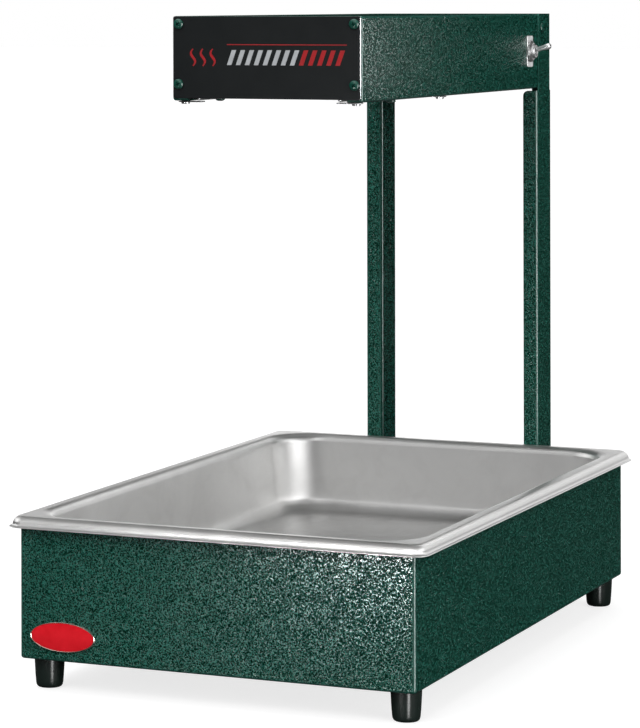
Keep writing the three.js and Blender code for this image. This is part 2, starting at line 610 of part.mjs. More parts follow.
// ================================================================ CONDUIT
// from the base's rear wall into the right post and up to the lamp's wiring bay
const CONDUIT_PATH = [
  [CONDUIT_ENTRY_X, 500, ENTRY_Z], [CONDUIT_ENTRY_X, 516, ENTRY_Z], [51.5, 529, ENTRY_Z + 2],
  [59, CONDUIT_Y - 2, ENTRY_Z + 12], [CONDUIT_X - 1.5, CONDUIT_Y, ENTRY_Z + 34],
  [CONDUIT_X, CONDUIT_Y, ENTRY_Z + 60], [CONDUIT_X, CONDUIT_Y, 250],
  [CONDUIT_X, CONDUIT_Y, 400], [CONDUIT_X, CONDUIT_Y, 436],
  [CONDUIT_X - 2, CONDUIT_Y - 1, 446],
];
put('supply_conduit', wire(CONDUIT_PATH, CONDUIT_R, 48, 8), FINISH.conduit);

const conduitBushing = turned([
  [4.2, 0], [8.4, 0], [8.4, 1.5], [6.3, 2.0], [6.3, 5.2], [4.2, 5.2], [4.2, 0],
], 16, facingFront(CONDUIT_ENTRY_X, BASE_D + 2.0, ENTRY_Z));
put('conduit_bushing', conduitBushing, FINISH.rubber);

// ================================================================ CORD AND PLUG
const CORD_R = 4.0, CORD_BORE = CORD_R + 0.3;
const COIL = {
  startAngle: 285, turns: 2.72, steps: 40,   // angle in degrees
  startY: 529.5, pitch: 9.2,                 // rearward travel per turn
  centerZ: 55, halfWidth: 43, halfHeight: 46,
};
const PLUG_X = 12, PLUG_Y = 544.5, PLUG_Z = 42.6;

const strainRelief = turned([
  [CORD_BORE, 0], [6.6, 0], [6.9, 6.2], [10, 6.2], [10, 8], [7.3, 8.0],
  [7.3, 13], [CORD_BORE, 13], [CORD_BORE, 0],
], 16, facingFront(CORD_X, BASE_D + 8.2, ENTRY_Z));
put('cord_strain_relief', strainRelief, FINISH.rubber);

// out of the base, round upright oval turns behind it, then up to the plug
function powerCord() {
  const points = [
    [CORD_X, 499, ENTRY_Z], [CORD_X, 512, ENTRY_Z], [CORD_X, 524, ENTRY_Z - 0.5],
    [CORD_X + 3, 528.5, ENTRY_Z - 9], [CORD_X + 12, COIL.startY, 18],
  ];
  for (let k = 0; k <= COIL.steps; k++) {
    const turn = COIL.turns * k / COIL.steps;
    const angle = (COIL.startAngle + 360 * turn) * Math.PI / 180;
    points.push([
      COIL.halfWidth * Math.cos(angle),
      COIL.startY + COIL.pitch * turn,
      COIL.centerZ + COIL.halfHeight * Math.sin(angle),
    ]);
  }
  points.push([-16, 553.2, 22], [-2, 551.8, 17], [9, 548.5, 22]);
  points.push([PLUG_X, PLUG_Y + 1, 32], [PLUG_X, PLUG_Y, 42]);
  return wire(points, CORD_R, 110, 6);
}
put('power_cord', powerCord(), FINISH.rubber);

// width, length, corner radius, height above PLUG_Z
const PLUG_RINGS = [
  [12, 12, 5, 0], [14, 14, 5.5, 7], [24, 18, 6, 12],
  [27, 20, 6, 16], [27, 20, 6, 29], [25, 18, 5, 30.5],
].map(([width, length, radius, z]) => ({ width, length, radius, z }));
const BLADES = [['line', PLUG_X - 6.35], ['neutral', PLUG_X + 6.35]];   // name, x
const BLADE_Y = PLUG_Y - 3, GROUND_Y = PLUG_Y + 5.2;
const PIN_Z0 = PLUG_Z + 24.3;    // inner end of the blades and the ground pin

function plugBody() {
  const socketZ = [PLUG_Z + 24, PLUG_Z + 34];
  return cutAll(toSolid(loft(PLUG_RINGS, [PLUG_X, PLUG_Y], 3).translate(0, 0, PLUG_Z)), [
    ...BLADES.map(([, x]) => box(around(x, 1), around(BLADE_Y, 3.4), socketZ)),
    cylinder('z', [PLUG_X, GROUND_Y], socketZ, 2.7, 12),
  ]);
}
put('plug_body', plugBody(), FINISH.rubber);

for (const [name, x] of BLADES) {
  const blade = box(around(x, 0.75), around(BLADE_Y, 3.15), [PIN_Z0, PLUG_Z + 46])
    .subtract(cylinder('x', [BLADE_Y, PLUG_Z + 43], around(x, 3), 1.6, 8));
  put(`plug_${name}_blade`, blade, FINISH.brass);
}
const groundPin = turned([[0, 0], [2.4, 0], [2.4, 20], [1.3, 22.5], [0, 23]], 12,
  move(PLUG_X, GROUND_Y, PIN_Z0));
put('plug_ground_pin', groundPin, FINISH.brass);

export default group;
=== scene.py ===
import bpy, bmesh, json, math, random
from mathutils import Vector, Matrix, Quaternion


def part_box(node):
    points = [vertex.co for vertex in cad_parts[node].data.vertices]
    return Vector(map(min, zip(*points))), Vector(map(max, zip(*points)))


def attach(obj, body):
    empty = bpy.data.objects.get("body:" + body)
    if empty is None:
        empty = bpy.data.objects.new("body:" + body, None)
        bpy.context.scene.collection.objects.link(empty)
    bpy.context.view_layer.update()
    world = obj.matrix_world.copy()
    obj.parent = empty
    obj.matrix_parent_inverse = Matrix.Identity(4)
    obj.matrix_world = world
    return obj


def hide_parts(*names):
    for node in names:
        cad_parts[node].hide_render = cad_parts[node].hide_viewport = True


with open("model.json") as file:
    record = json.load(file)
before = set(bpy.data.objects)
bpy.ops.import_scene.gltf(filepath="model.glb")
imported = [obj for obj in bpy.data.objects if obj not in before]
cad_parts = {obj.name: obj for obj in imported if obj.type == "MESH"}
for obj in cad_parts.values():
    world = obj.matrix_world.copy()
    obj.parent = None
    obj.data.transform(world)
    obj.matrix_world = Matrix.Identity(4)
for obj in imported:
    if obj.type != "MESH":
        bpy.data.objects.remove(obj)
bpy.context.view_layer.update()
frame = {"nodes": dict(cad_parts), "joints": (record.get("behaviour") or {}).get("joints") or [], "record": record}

NODES = frame["nodes"]
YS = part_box("base_shell")[0].y * 1000.0        # the base's front face, in mm


def P(x, y, z):
    """Millimetres, with y counted from the base's front face, to metres in the row frame."""
    return Vector((x / 1000.0, (y + YS) / 1000.0, z / 1000.0))


def box_mm(node):
    lo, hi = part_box(node)
    return (Vector((lo.x * 1000, lo.y * 1000 - YS, lo.z * 1000)), Vector((hi.x * 1000, hi.y * 1000 - YS, hi.z * 1000)))


# =====================================================================================
# materials
# =====================================================================================
class M:
    """A small builder for node materials. Every coordinate is in metres, from the object's own space."""

    def __init__(self, name, color=(0.5, 0.5, 0.5), rough=0.5, metal=0.0, spec=0.5):
        self.mat = bpy.data.materials.new(name)
        self.mat.use_nodes = True
        self.nt = self.mat.node_tree
        self.nt.nodes.clear()
        self.out = self.n("ShaderNodeOutputMaterial")
        self.b = self.n("ShaderNodeBsdfPrincipled")
        self.link(self.b.outputs["BSDF"], self.out.inputs["Surface"])
        self.set("Base Color", (*color, 1.0))
        self.set("Roughness", rough)
        self.set("Metallic", metal)
        self.set("Specular IOR Level", spec)
        self.mat.diffuse_color = (*color, 1.0)
        self.coord = self.n("ShaderNodeTexCoord").outputs["Object"]

    def n(self, kind, **kw):
        node = self.nt.nodes.new(kind)
        for k, v in kw.items():
            setattr(node, k, v)
        return node

    def link(self, a, b):
        self.nt.links.new(a, b)

    def set(self, key, value):
        inp = self.b.inputs[key]
        if hasattr(value, "links") or isinstance(value, bpy.types.NodeSocket):
            self.link(value, inp)
        else:
            inp.default_value = value

    def noise(self, scale, detail=2.0, rough=0.5, distort=0.0, stretch=(1, 1, 1), kind="FBM", offset=(0, 0, 0), turn=(0, 0, 0)):
        mp = self.n("ShaderNodeMapping")
        mp.inputs["Rotation"].default_value = turn
        if isinstance(stretch, bpy.types.NodeSocket):
            self.link(stretch, mp.inputs["Scale"])
        else:
            mp.inputs["Scale"].default_value = stretch
        mp.inputs["Location"].default_value = offset
        self.link(self.coord, mp.inputs["Vector"])
        t = self.n("ShaderNodeTexNoise")
        t.noise_type = kind
        t.inputs["Scale"].default_value = scale
        t.inputs["Detail"].default_value = detail
        t.inputs["Roughness"].default_value = rough
        t.inputs["Distortion"].default_value = distort
        self.link(mp.outputs["Vector"], t.inputs["Vector"])
        return t.outputs["Fac"]

    def mixf(self, fac, a, b):
        """A number between a and b."""
        return self.math("ADD", self.math("MULTIPLY", a, self.math("SUBTRACT", 1.0, fac)), self.math("MULTIPLY", b, fac))

    def voronoi(self, scale, feature="F1", rand=1.0, stretch=(1, 1, 1)):
        mp = self.n("ShaderNodeMapping")
        mp.inputs["Scale"].default_value = stretch
        self.link(self.coord, mp.inputs["Vector"])
        t = self.n("ShaderNodeTexVoronoi", feature=feature)
        t.inputs["Scale"].default_value = scale
        t.inputs["Randomness"].default_value = rand
        self.link(mp.outputs["Vector"], t.inputs["Vector"])
        return t.outputs["Distance"]

    def ramp(self, fac, stops, interp="LINEAR"):
        r = self.n("ShaderNodeValToRGB")
        r.color_ramp.interpolation = interp
        el = r.color_ramp.elements
        while len(el) < len(stops):
            el.new(0.5)
        for e, (p, c) in zip(el, stops):
            e.position = p
            e.color = c if len(c) == 4 else (*c, 1.0)
        self.link(fac, r.inputs["Fac"])
        return r.outputs["Color"]

    def val(self, fac, a, b, lo=0.0, hi=1.0):
        """Maps fac from a..b to lo..hi, clamped."""
        m = self.n("ShaderNodeMapRange")
        m.clamp = True
        m.inputs["From Min"].default_value = a
        m.inputs["From Max"].default_value = b
        m.inputs["To Min"].default_value = lo
        m.inputs["To Max"].default_value = hi
        self.link(fac, m.inputs["Value"])
        return m.outputs["Result"]

    def math(self, op, a, b=None):
        m = self.n("ShaderNodeMath", operation=op)
        for i, v in enumerate((a, b)):
            if v is None:
                continue
            if isinstance(v, (int, float)):
                m.inputs[i].default_value = v
            else:
                self.link(v, m.inputs[i])
        return m.outputs[0]

    def mix(self, fac, a, b, blend="MIX"):
        m = self.n("ShaderNodeMix", data_type="RGBA", blend_type=blend)
        for inp, v in ((m.inputs[0], fac), (m.inputs[6], a), (m.inputs[7], b)):
            if isinstance(v, (int, float)):
                inp.default_value = v
            elif isinstance(v, tuple):
                inp.default_value = v if len(v) == 4 else (*v, 1.0)
            else:
                self.link(v, inp)
        return m.outputs[2]

    def bump(self, height, strength=1.0, distance=0.0001, normal=None):
        b = self.n("ShaderNodeBump")
        b.inputs["Strength"].default_value = strength
        b.inputs["Distance"].default_value = distance
        self.link(height, b.inputs["Height"])
        if normal is not None:
            self.link(normal, b.inputs["Normal"])
        return b.outputs["Normal"]

    def edge(self, width=0.0006):
        """1 near convex edges, 0 elsewhere."""
        bv = self.n("ShaderNodeBevel")
        bv.samples = 4
        bv.inputs["Radius"].default_value = width
        geo = self.n("ShaderNodeNewGeometry")
        d = self.n("ShaderNodeVectorMath", operation="DOT_PRODUCT")
        self.link(bv.outputs["Normal"], d.inputs[0])
        self.link(geo.outputs["Normal"], d.inputs[1])
        return self.val(d.outputs["Value"], 0.985, 0.90, 0.0, 1.0)


def by_side(m, side):
    """A texture scale that is 1 on faces looking forwards, back, up or down, and `side` along y on faces looking left or right."""
    geo = m.n("ShaderNodeNewGeometry")
    sep = m.n("ShaderNodeSeparateXYZ")
    m.link(geo.outputs["True Normal"], sep.inputs[0])
    on = m.math("GREATER_THAN", m.math("ABSOLUTE", sep.outputs["X"]), 0.72)
    c = m.n("ShaderNodeCombineXYZ")
    c.inputs["X"].default_value = 1.0
    m.link(m.math("SUBTRACT", 1.0, m.math("MULTIPLY", on, 1.0 - side)), c.inputs["Y"])
    m.link(m.math("SUBTRACT", 1.0, m.math("MULTIPLY", on, 0.06)), c.inputs["Z"])
    return c.outputs[0], on


def green_coat(name="green_wrinkle_coat"):
    m = M(name, (0.006, 0.050, 0.035), 0.30, 0.0, 0.5)
    # fine wrinkle texture: short worm-like ridges 1 to 2 mm apart, over a slower drift of tone
    # the noise is turned, so that no flat side lies along its lattice, where it would fade out
    turn = (0.52, 0.81, 0.37)
    scale, on_side = by_side(m, 0.58)
    ridge = m.noise(900.0, 0.8, 0.45, 0.7, stretch=scale, turn=turn)
    worm = m.mixf(on_side, m.val(ridge, 0.385, 0.615, 0.0, 1.0), m.val(ridge, 0.39, 0.61, 0.0, 1.0))
    grain = m.noise(1500.0, 1.0, 0.5, stretch=(1.0, 0.8, 1.0), turn=turn)
    drift = m.noise(9.0, 3.0, 0.6)
    clump = m.val(m.noise(265.0, 1.5, 0.5, 0.5, turn=turn), 0.32, 0.68, 0.0, 1.0)
    h = m.math("ADD", m.math("MULTIPLY", worm, 0.80), m.math("MULTIPLY", grain, 0.10))
    h = m.math("ADD", h, m.math("MULTIPLY", clump, 0.10))
    # the pale top of this ramp is the coat's lighter vein tone and partly a painted sparkle, standing in for glints on
    # the ridges
    base = m.ramp(h, [(0.03, (0.0003, 0.0150, 0.0085)), (0.42, (0.0026, 0.0480, 0.0320)), (0.62, (0.0044, 0.0720, 0.0485)), (0.97, (0.0200, 0.1680, 0.1240))])
    base = m.mix(m.val(drift, 0.35, 0.7, 0.0, 0.16), base, (0.0040, 0.052, 0.036), "MIX")
    # the ridges shade one another at a low angle: the base colour is darkened there as painted shade, and the specular
    # level falls so the coat never turns to a mirror
    lw = m.n("ShaderNodeLayerWeight")
    lw.inputs["Blend"].default_value = 0.5
    m.set("Base Color", m.mix(m.val(lw.outputs["Facing"], 0.82, 0.97, 0.0, 0.75), base, (0.0010, 0.0080, 0.0055)))
    m.set("Roughness", m.val(h, 0.1, 1.0, 0.34, 0.18))
    m.set("Specular IOR Level", m.math("MULTIPLY", m.val(h, 0.30, 0.85, 0.02, 0.85), m.val(lw.outputs["Facing"], 0.62, 0.93, 1.0, 0.08)))
    m.set("Normal", m.bump(h, 1.0, 0.00046))
    return m.mat


def green_fold(name, color, tip):
    """The same coat drawn thin and smoother over a fold or a cut edge, with a paler tone mixed in by noise; on cut
    edges the pale tone is a painted highlight line.
    """
    m = M(name, color, 0.2, 0.0, 0.6)
    n = m.noise(700.0, 1.0, 0.5)
    d = m.noise(60.0, 3.0, 0.6)
    lw = m.n("ShaderNodeLayerWeight")
    lw.inputs["Blend"].default_value = 0.5
    col = m.mix(m.val(m.math("ADD", m.math("MULTIPLY", n, 0.6), m.math("MULTIPLY", d, 0.4)), 0.38, 0.64), color, tip)
    # painted shade: the base colour darkens at grazing views, standing in for the ridges shading one another
    m.set("Base Color", m.mix(m.val(lw.outputs["Facing"], 0.70, 0.92, 0.0, 0.85), col, (0.0010, 0.0080, 0.0055)))
    m.set("Specular IOR Level", m.val(lw.outputs["Facing"], 0.70, 0.93, 0.6, 0.06))
    m.set("Roughness", m.val(d, 0.3, 0.7, 0.24, 0.34))
    m.set("Normal", m.bump(n, 1.0, 0.00010))
    return m.mat


def black_plate():
    m = M("black_plate_coat", (0.0095, 0.0110, 0.0118), 0.42, 0.0, 0.22)
    f = m.noise(1700.0, 2.0, 0.6)
    s = m.noise(9.0, 3.0, 0.6)
    fine = m.noise(70.0, 4.0, 0.6, 0.5)
    m.set("Base Color", m.mix(m.val(s, 0.35, 0.7), (0.0112, 0.0130, 0.0138), (0.0145, 0.0162, 0.0170)))
    m.set("Roughness", m.val(fine, 0.35, 0.65, 0.37, 0.48))
    m.set("Normal", m.bump(f, 0.35, 0.00003))
    return m.mat


def print_ink(name, color, rough=0.35):
    m = M(name, color, rough)
    f = m.noise(1100.0, 2.0, 0.6)
    s = m.noise(120.0, 2.0, 0.5)
    m.set("Base Color", m.mix(m.val(s, 0.3, 0.7), color, tuple(c * 0.85 for c in color)))
    m.set("Roughness", m.val(s, 0.3, 0.7, rough - 0.05, rough + 0.08))
    m.set("Normal", m.bump(f, 0.3, 0.00002))
    return m.mat


def pan_steel():
    m = M("pan_stainless", (0.62, 0.615, 0.61), 0.46, 1.0)
    # rolled-sheet brush lines run along the pan, with cloudy handling marks and a few scratches
    brush = m.noise(260.0, 5.0, 0.65, 0.0, stretch=(9.0, 0.35, 9.0))
    brush2 = m.noise(700.0, 3.0, 0.6, 0.0, stretch=(5.0, 0.12, 5.0))
    cloud = m.noise(11.0, 4.0, 0.62, 0.6)
    smear = m.noise(34.0, 3.0, 0.55, 1.2, stretch=(1.0, 0.45, 1.0))
    scr = m.noise(55.0, 2.0, 0.5, 1.6, stretch=(1.0, 5.0, 1.0))
    scratch = m.val(m.math("ABSOLUTE", m.math("SUBTRACT", scr, 0.5)), 0.0, 0.0045, 1.0, 0.0)
    col = m.mix(m.val(cloud, 0.3, 0.72), (0.66, 0.658, 0.652), (0.76, 0.758, 0.752))
    col = m.mix(m.val(smear, 0.50, 0.72, 0.0, 0.30), col, (0.60, 0.595, 0.587))
    m.set("Base Color", col)
    r = m.math("ADD", m.val(brush, 0.25, 0.75, 0.33, 0.45), m.val(cloud, 0.3, 0.7, -0.03, 0.06))
    r = m.math("SUBTRACT", r, m.math("MULTIPLY", scratch, 0.07))
    m.set("Roughness", r)
    m.set("Anisotropic", 0.35)
    h = m.math("ADD", m.math("MULTIPLY", brush, 0.6), m.math("MULTIPLY", brush2, 0.5))
    nb = m.bump(h, 0.22, 0.00003)
    nb = m.bump(m.math("MULTIPLY", scratch, -1.0), 0.25, 0.00003, nb)
    dent = m.noise(16.0, 1.0, 0.4)
    m.set("Normal", m.bump(dent, 0.30, 0.0006, nb))
    return m.mat


def plating(name="bright_nickel", color=(0.78, 0.78, 0.785), rough=0.13):
    m = M(name, color, rough, 1.0)
    c = m.noise(120.0, 3.0, 0.6, 0.4)
    f = m.noise(900.0, 2.0, 0.5)
    m.set("Base Color", m.mix(m.val(c, 0.3, 0.7), color, tuple(v * 0.86 for v in color)))
    m.set("Roughness", m.val(c, 0.3, 0.7, rough * 0.8, rough * 1.7))
    m.set("Normal", m.bump(f, 0.15, 0.00003))
    return m.mat


def zinc():
    m = M("zinc_plate", (0.48, 0.49, 0.50), 0.42, 0.95)
    c = m.voronoi(95.0, "F1")
    n = m.noise(40.0, 4.0, 0.6, 0.6)
    col = m.mix(m.val(c, 0.0, 0.9), (0.42, 0.43, 0.445), (0.56, 0.565, 0.57))
    col = m.mix(m.val(n, 0.52, 0.75, 0.0, 0.35), col, (0.36, 0.355, 0.34))
    m.set("Base Color", col)
    m.set("Roughness", m.val(n, 0.3, 0.7, 0.33, 0.55))
    m.set("Normal", m.bump(m.noise(500.0, 3.0), 0.2, 0.00004))
    return m.mat


def foot_black():
    m = M("foot_gloss", (0.0080, 0.0150, 0.0125), 0.28, 0.0, 0.55)
    o = m.noise(260.0, 2.0, 0.5)
    d = m.noise(30.0, 3.0, 0.6)
    m.set("Base Color", m.mix(m.val(d, 0.45, 0.75), (0.0080, 0.0150, 0.0125), (0.016, 0.027, 0.023)))
    m.set("Roughness", m.val(d, 0.3, 0.75, 0.20, 0.30))
    m.set("Coat Weight", 0.35)
    m.set("Coat Roughness", 0.22)
    m.set("Normal", m.bump(o, 0.25, 0.00006))
    return m.mat


def rubber(name="black_rubber", color=(0.016, 0.016, 0.017), rough=0.62):
    m = M(name, color, rough)
    d = m.noise(45.0, 4.0, 0.6)
    f = m.noise(1300.0, 3.0, 0.6)
    m.set("Base Color", m.mix(m.val(d, 0.4, 0.75), color, tuple(v * 1.9 + 0.004 for v in color)))
    m.set("Roughness", m.val(d, 0.3, 0.75, rough - 0.12, rough + 0.12))
    m.set("Normal", m.bump(f, 0.4, 0.00005))
    return m.mat


def badge_red():
    m = M("badge_enamel", (0.46, 0.012, 0.020), 0.16, 0.0, 0.6)
    d = m.noise(90.0, 3.0, 0.6)
    m.set("Base Color", m.mix(m.val(d, 0.3, 0.7), (0.76, 0.008, 0.017), (0.86, 0.012, 0.024)))
    m.set("Roughness", m.val(d, 0.35, 0.7, 0.12, 0.24))
    m.set("Coat Weight", 0.3)
    m.set("Coat Roughness", 0.08)
    m.set("Normal", m.bump(m.noise(400.0, 2.0), 0.12, 0.00003))
    return m.mat


def bright_alu():
    m = M("bright_aluminium", (0.82, 0.83, 0.85), 0.18, 1.0)
    b = m.noise(240.0, 4.0, 0.6, 0.0, stretch=(7.0, 0.3, 7.0))
    n = m.noise(20.0, 3.0, 0.6, 0.5)
    m.set("Base Color", m.mix(m.val(n, 0.35, 0.75), (0.83, 0.84, 0.86), (0.66, 0.66, 0.655)))
    m.set("Roughness", m.val(b, 0.3, 0.7, 0.13, 0.27))
    m.set("Normal", m.bump(b, 0.15, 0.00003))
    return m.mat


def ceramic():
    m = M("glazed_ceramic", (0.79, 0.76, 0.69), 0.32)
    s = m.voronoi(420.0, "F1")
    n = m.noise(35.0, 3.0, 0.6)
    col = m.mix(m.val(n, 0.3, 0.7), (0.80, 0.775, 0.71), (0.70, 0.665, 0.585))
    col = m.mix(m.val(s, 0.10, 0.04, 0.0, 0.5), col, (0.42, 0.37, 0.30))
    m.set("Base Color", col)
    m.set("Roughness", m.val(n, 0.3, 0.7, 0.24, 0.42))
    m.set("Coat Weight", 0.3)
    m.set("Normal", m.bump(m.noise(260.0, 2.0), 0.2, 0.00008))
    return m.mat


def silicone():
    m = M("heater_silicone", (0.42, 0.13, 0.055), 0.62)
    w = m.n("ShaderNodeTexWave", wave_type="BANDS", bands_direction="DIAGONAL")
    w.inputs["Scale"].default_value = 240.0
    m.link(m.coord, w.inputs["Vector"])
    n = m.noise(30.0, 3.0)
    m.set("Base Color", m.mix(m.val(n, 0.3, 0.7), (0.42, 0.13, 0.055), (0.33, 0.095, 0.04)))
    m.set("Normal", m.bump(w.outputs["Fac"], 0.3, 0.0001))
    return m.mat


def wool():
    m = M("mineral_wool", (0.55, 0.50, 0.36), 0.95)
    f = m.noise(300.0, 6.0, 0.7, 2.0, stretch=(1, 0.3, 1))
    m.set("Base Color", m.mix(m.val(f, 0.3, 0.7), (0.45, 0.40, 0.27), (0.66, 0.61, 0.46)))
    m.set("Normal", m.bump(f, 0.8, 0.0005))
    return m.mat


def braid():
    m = M("glass_sleeve", (0.70, 0.67, 0.59), 0.8)
    a = m.n("ShaderNodeTexWave", wave_type="BANDS", bands_direction="DIAGONAL")
    a.inputs["Scale"].default_value = 500.0
    m.link(m.coord, a.inputs["Vector"])
    m.set("Base Color", m.mix(a.outputs["Fac"], (0.70, 0.67, 0.59), (0.50, 0.47, 0.40)))
    m.set("Normal", m.bump(a.outputs["Fac"], 0.5, 0.0001))
    return m.mat


def brass():
    m = M("plug_brass", (0.70, 0.50, 0.22), 0.26, 1.0)
    n = m.noise(150.0, 4.0, 0.6, 0.0, stretch=(1, 1, 0.2))
    m.set("Base Color", m.mix(m.val(n, 0.3, 0.7), (0.72, 0.53, 0.24), (0.50, 0.34, 0.15)))
    m.set("Roughness", m.val(n, 0.3, 0.7, 0.2, 0.38))
    m.set("Normal", m.bump(n, 0.2, 0.00004))
    return m.mat


def conduit_mat():
    m = M("conduit_sleeve", (0.030, 0.031, 0.034), 0.48)
    d = m.noise(60.0, 3.0, 0.6)
    m.set("Base Color", m.mix(m.val(d, 0.35, 0.75), (0.026, 0.027, 0.030), (0.055, 0.055, 0.058)))
    m.set("Roughness", m.val(d, 0.3, 0.75, 0.40, 0.62))
    m.set("Normal", m.bump(m.noise(900.0, 2.0), 0.3, 0.00004))
    return m.mat


GREEN = green_coat()
FOLD = green_fold("green_coat_fold", (0.0050, 0.0560, 0.0400), (0.0180, 0.1050, 0.0800))
PAINTED = green_fold("green_coat_screw", (0.0045, 0.0560, 0.0390), (0.0085, 0.0780, 0.0560))
# painted highlight: the pale green on cut edges stands in for the light line that the edges catch
CUT_EDGE_HIGHLIGHT_PAINT = green_fold("green_coat_edge_painted_highlight", (0.0120, 0.0900, 0.0660), (0.0500, 0.1900, 0.1500))
PLATE = black_plate()
STEEL = pan_steel()
CHROME = plating(color=(0.90, 0.90, 0.905), rough=0.27)
RIMMETAL = plating("badge_rim", (0.80, 0.75, 0.66), 0.2)
WIREMETAL = plating("guard_wire_plating", (0.70, 0.705, 0.715), 0.22)
ZINC = zinc()
FOOT = foot_black()
RUBBER = rubber()
RED = badge_red()
ALU = bright_alu()
CERAMIC = ceramic()
SILICONE = silicone()
WOOL = wool()
BRAID = braid()
BRASS = brass()
CONDUIT = conduit_mat()
BAKELITE = rubber("thermostat_moulding", (0.02, 0.02, 0.022), 0.4)
INK_SILVER = print_ink("ink_silver", (0.50, 0.52, 0.54))
INK_RED = print_ink("ink_red", (0.42, 0.018, 0.022))

SLOT_MATS = {
    "green_coat": GREEN, "black_plate": PLATE, "pan_steel": STEEL, "bright_plating": CHROME, "zinc_steel": ZINC,
    "foot_black": FOOT, "black_rubber": RUBBER, "conduit_sleeve": CONDUIT, "badge_enamel": RED, "bright_aluminium": ALU,
    "white_ceramic": CERAMIC, "heater_silicone": SILICONE, "mineral_wool": WOOL, "thermostat_black": BAKELITE,
    "glass_sleeve_wire": BRAID, "brass": BRASS,
}
NODE_SLOT = {s["node"]: s["material_slot"] for s in frame["record"]["subparts"]}


# =====================================================================================
# mesh builders (all take millimetres)
# =====================================================================================
def make(name, verts, faces, mat, body="warmer", stands=(), angle=35.0, mats=None, face_mats=None, weld=0.0):
    me = bpy.data.meshes.new(name)
    me.from_pydata([P(*v) for v in verts], [], faces)
    bm = bmesh.new()
    bm.from_mesh(me)
    if weld:
        bmesh.ops.remove_doubles(bm, verts=bm.verts, dist=weld / 1000.0)
        bmesh.ops.dissolve_degenerate(bm, dist=weld / 2000.0, edges=bm.edges)
    bmesh.ops.recalc_face_normals(bm, faces=bm.faces)
    bm.to_mesh(me)
    bm.free()
    me.update()
    ob = bpy.data.objects.new(name, me)
    bpy.context.scene.collection.objects.link(ob)
    for mt in (mats or [mat]):
        me.materials.append(mt)
    if face_mats and not weld:
        for p, i in zip(me.polygons, face_mats):
            p.material_index = i
    shade(me, angle)
    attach(ob, body)
    if stands:
        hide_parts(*stands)
    return weigh(ob)


def shade(me, angle):
    me.shade_smooth()
    me.set_sharp_from_angle(angle=math.radians(angle))


def from_mesh(name, me, mat, body="warmer", stands=(), matrix=None, mats=None):
    """An object from a mesh already in metres; matrix is baked into its vertices."""
    me = me.copy()
    me.name = name
    if matrix is not None:
        me.transform(matrix)
    me.materials.clear()
    for mt in (mats or [mat]):
        me.materials.append(mt)
    ob = bpy.data.objects.new(name, me)
    bpy.context.scene.collection.objects.link(ob)
    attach(ob, body)
    if stands:
        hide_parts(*stands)
    return weigh(ob)


def rr_ring(hx, hy, r, z, cx, cy, n):
    out = []
    for sx, sy, a0 in ((1, 1, 0), (-1, 1, 90), (-1, -1, 180), (1, -1, 270)):
        for i in range(n + 1):
            a = math.radians(a0 + 90.0 * i / n)
            out.append((cx + sx * (hx - r) + r * math.cos(a), cy + sy * (hy - r) + r * math.sin(a), z))
    return out


def loft(rings, closed_loop=False, cap0=True, cap1=True):
    """Quads between rings of equal length; the loop may close on itself."""
    n = len(rings[0])
    verts = [v for r in rings for v in r]
    faces = []
    m = len(rings)
    for k in range(m if closed_loop else m - 1):
        a, b = k * n, ((k + 1) % m) * n
        for i in range(n):
            j = (i + 1) % n
            faces.append((a + i, a + j, b + j, b + i))
    if not closed_loop:
        if cap0:
            faces.append(tuple(reversed(range(n))))
        if cap1:
            faces.append(tuple(range((m - 1) * n, m * n)))
    return verts, faces


def arc(cx, cy, r, a0, a1, n):
    return [(cx + r * math.cos(math.radians(a0 + (a1 - a0) * i / n)), cy + r * math.sin(math.radians(a0 + (a1 - a0) * i / n))) for i in range(n + 1)]


def lathe(profile, n, origin, axis):
    """profile: (r, h) from axis to axis or closed; axis: unit vector; origin in mm."""
    ax = Vector(axis).normalized()
    u = ax.orthogonal().normalized()
    v = ax.cross(u)
    verts, faces, index = [], [], []
    for r, h in profile:
        if r < 1e-6:
            index.append([len(verts)] * n)
            verts.append(tuple(Vector(origin) + ax * h))
        else:
            row = []
            for i in range(n):
                a = 2 * math.pi * i / n
                row.append(len(verts))
                verts.append(tuple(Vector(origin) + ax * h + (u * math.cos(a) + v * math.sin(a)) * r))
            index.append(row)
    m = len(profile)
    closed = profile[0][0] > 1e-6
    for k in range(m if closed else m - 1):
        a, b = index[k], index[(k + 1) % m]
        for i in range(n):
            j = (i + 1) % n
            f = [a[i], a[j], b[j], b[i]]
            g = []
            for x in f:
                if x not in g:
                    g.append(x)
            if len(g) >= 3:
                faces.append(tuple(g))
    return verts, faces


def catmull(points, per=12):
    """Uniform Catmull-Rom through the points."""
    pts = [Vector(p) for p in points]
    ext = [pts[0] * 2 - pts[1]] + pts + [pts[-1] * 2 - pts[-2]]
    out = []
    for i in range(1, len(ext) - 2):
        p0, p1, p2, p3 = ext[i - 1:i + 3]
        for k in range(per):
            t = k / per
            out.append(0.5 * ((2 * p1) + (-p0 + p2) * t + (2 * p0 - 5 * p1 + 4 * p2 - p3) * t * t + (-p0 + 3 * p1 - 3 * p2 + p3) * t ** 3))
    out.append(pts[-1])
    return out


def resample(path, step):
    out, acc = [path[0]], 0.0
    for a, b in zip(path, path[1:]):
        d = (b - a).length
        while acc + d >= step:
            t = (step - acc) / d
            a = a.lerp(b, t)
            out.append(a)
            d = (b - a).length
            acc = 0.0
        acc += d
    if (out[-1] - path[-1]).length > step * 0.2:
        out.append(path[-1])
    return out


